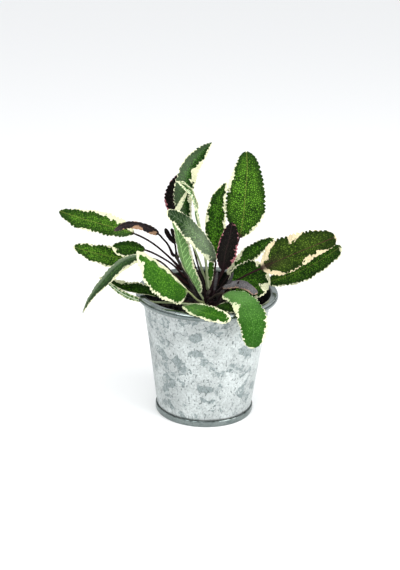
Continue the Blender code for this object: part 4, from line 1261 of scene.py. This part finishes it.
class SAGE_OT_studio(bpy.types.Operator):
    """Make the pale floor, the soft lights and the camera"""
    bl_idname = "sage.studio"
    bl_label = "Studio"

    def execute(self, context):
        settings = context.scene.sage_stage
        sheet = bpy.data.meshes.new("studio_floor")
        half = 60.0
        sheet.from_pydata([(-half, -half, 0), (half, -half, 0), (half, half, 0), (-half, half, 0)],
            [], [(0, 1, 2, 3)])
        floor = bpy.data.objects.new("studio_floor", sheet)
        context.scene.collection.objects.link(floor)
        material, tree, shader = new_material("plain floor")
        shader.inputs["Base Color"].default_value = *settings.floor_colour, 1.0
        shader.inputs["Roughness"].default_value = 0.9
        shader.inputs["Specular IOR Level"].default_value = 0.1
        floor.data.materials.append(material)
        world = bpy.data.worlds.new("even sky")
        world.use_nodes = True
        sky = world.node_tree.nodes["Background"]
        sky.inputs["Strength"].default_value = settings.sky_strength
        tree = world.node_tree
        way = add_node(tree, "ShaderNodeTexCoord").outputs["Generated"]
        rise = split(tree, way)[2]
        feed(tree, sky.inputs["Color"], blend_colour(tree, ramp(tree, rise, 0.02, 0.4),
            (0.45, 0.47, 0.49), (0.97, 0.985, 1.0)))
        context.scene.world = world
        middle = Vector((0, 0, 0.12))
        area_light("key light", settings.key_power, 0.7, (-0.4, -0.7, 1.0), middle)
        area_light("fill light", settings.fill_power, 0.8, (0.9, -0.5, 0.6), middle)
        lens = bpy.data.cameras.new("camera")
        lens.lens = CAMERA_LENS
        lens.sensor_width = 36.0
        lens.clip_end = 200.0
        camera = bpy.data.objects.new("camera", lens)
        back = Vector((0, -math.cos(CAMERA_ELEVATION), math.sin(CAMERA_ELEVATION)))
        camera.location = CAMERA_TARGET + back * CAMERA_DISTANCE
        aim = (-back).to_track_quat("-Z", "Y").to_matrix()
        camera.rotation_euler = (aim @ Matrix.Rotation(CAMERA_ROLL, 3, "Z")).to_euler()
        context.scene.collection.objects.link(camera)
        context.scene.camera = camera
        context.scene.view_settings.view_transform = "Standard"
        return {"FINISHED"}


class SAGE_PT_panel(bpy.types.Panel):
    """Buttons and sizes of the potted sage"""
    bl_idname = "SAGE_PT_panel"
    bl_label = "Potted sage"
    bl_space_type = "VIEW_3D"
    bl_region_type = "UI"
    bl_category = "Sage"

    def draw(self, context):
        scene = context.scene
        for group, operators in ((scene.sage_pot, ("sage.zinc_pot",)),
                (scene.sage_soil, ("sage.soil",)),
                (scene.sage_leaf, ("sage.shoots", "sage.green_leaves", "sage.grey_leaves",
                "sage.purple_leaves", "sage.sprouts")), (scene.sage_stage, ("sage.studio",))):
            box = self.layout.box()
            for name in group.__annotations__:
                box.prop(group, name)
            for operator in operators:
                box.operator(operator)


CLASSES = (SagePotSettings, SageSoilSettings, SageLeafSettings, SageStageSettings,
           SAGE_OT_zinc_pot, SAGE_OT_soil, SAGE_OT_shoots, SAGE_OT_green_leaves,
           SAGE_OT_grey_leaves, SAGE_OT_purple_leaves, SAGE_OT_sprouts, SAGE_OT_studio,
           SAGE_PT_panel)


def register():
    """Add the classes and the settings to Blender."""
    for made in CLASSES:
        bpy.utils.register_class(made)
    bpy.types.Scene.sage_pot = PointerProperty(type=SagePotSettings)
    bpy.types.Scene.sage_soil = PointerProperty(type=SageSoilSettings)
    bpy.types.Scene.sage_leaf = PointerProperty(type=SageLeafSettings)
    bpy.types.Scene.sage_stage = PointerProperty(type=SageStageSettings)


def unregister():
    """Remove the settings and the classes from Blender."""
    for name in ("sage_pot", "sage_soil", "sage_leaf", "sage_stage"):
        delattr(bpy.types.Scene, name)
    for made in reversed(CLASSES):
        bpy.utils.unregister_class(made)


def main():
    """Build every piece."""
    register()
    bpy.ops.sage.zinc_pot()
    bpy.ops.sage.soil()
    bpy.ops.sage.shoots()
    bpy.ops.sage.green_leaves()
    bpy.ops.sage.grey_leaves()
    bpy.ops.sage.purple_leaves()
    bpy.ops.sage.sprouts()
    bpy.ops.sage.studio()
    bpy.context.view_layer.update()


if __name__ == "__main__":
    main()
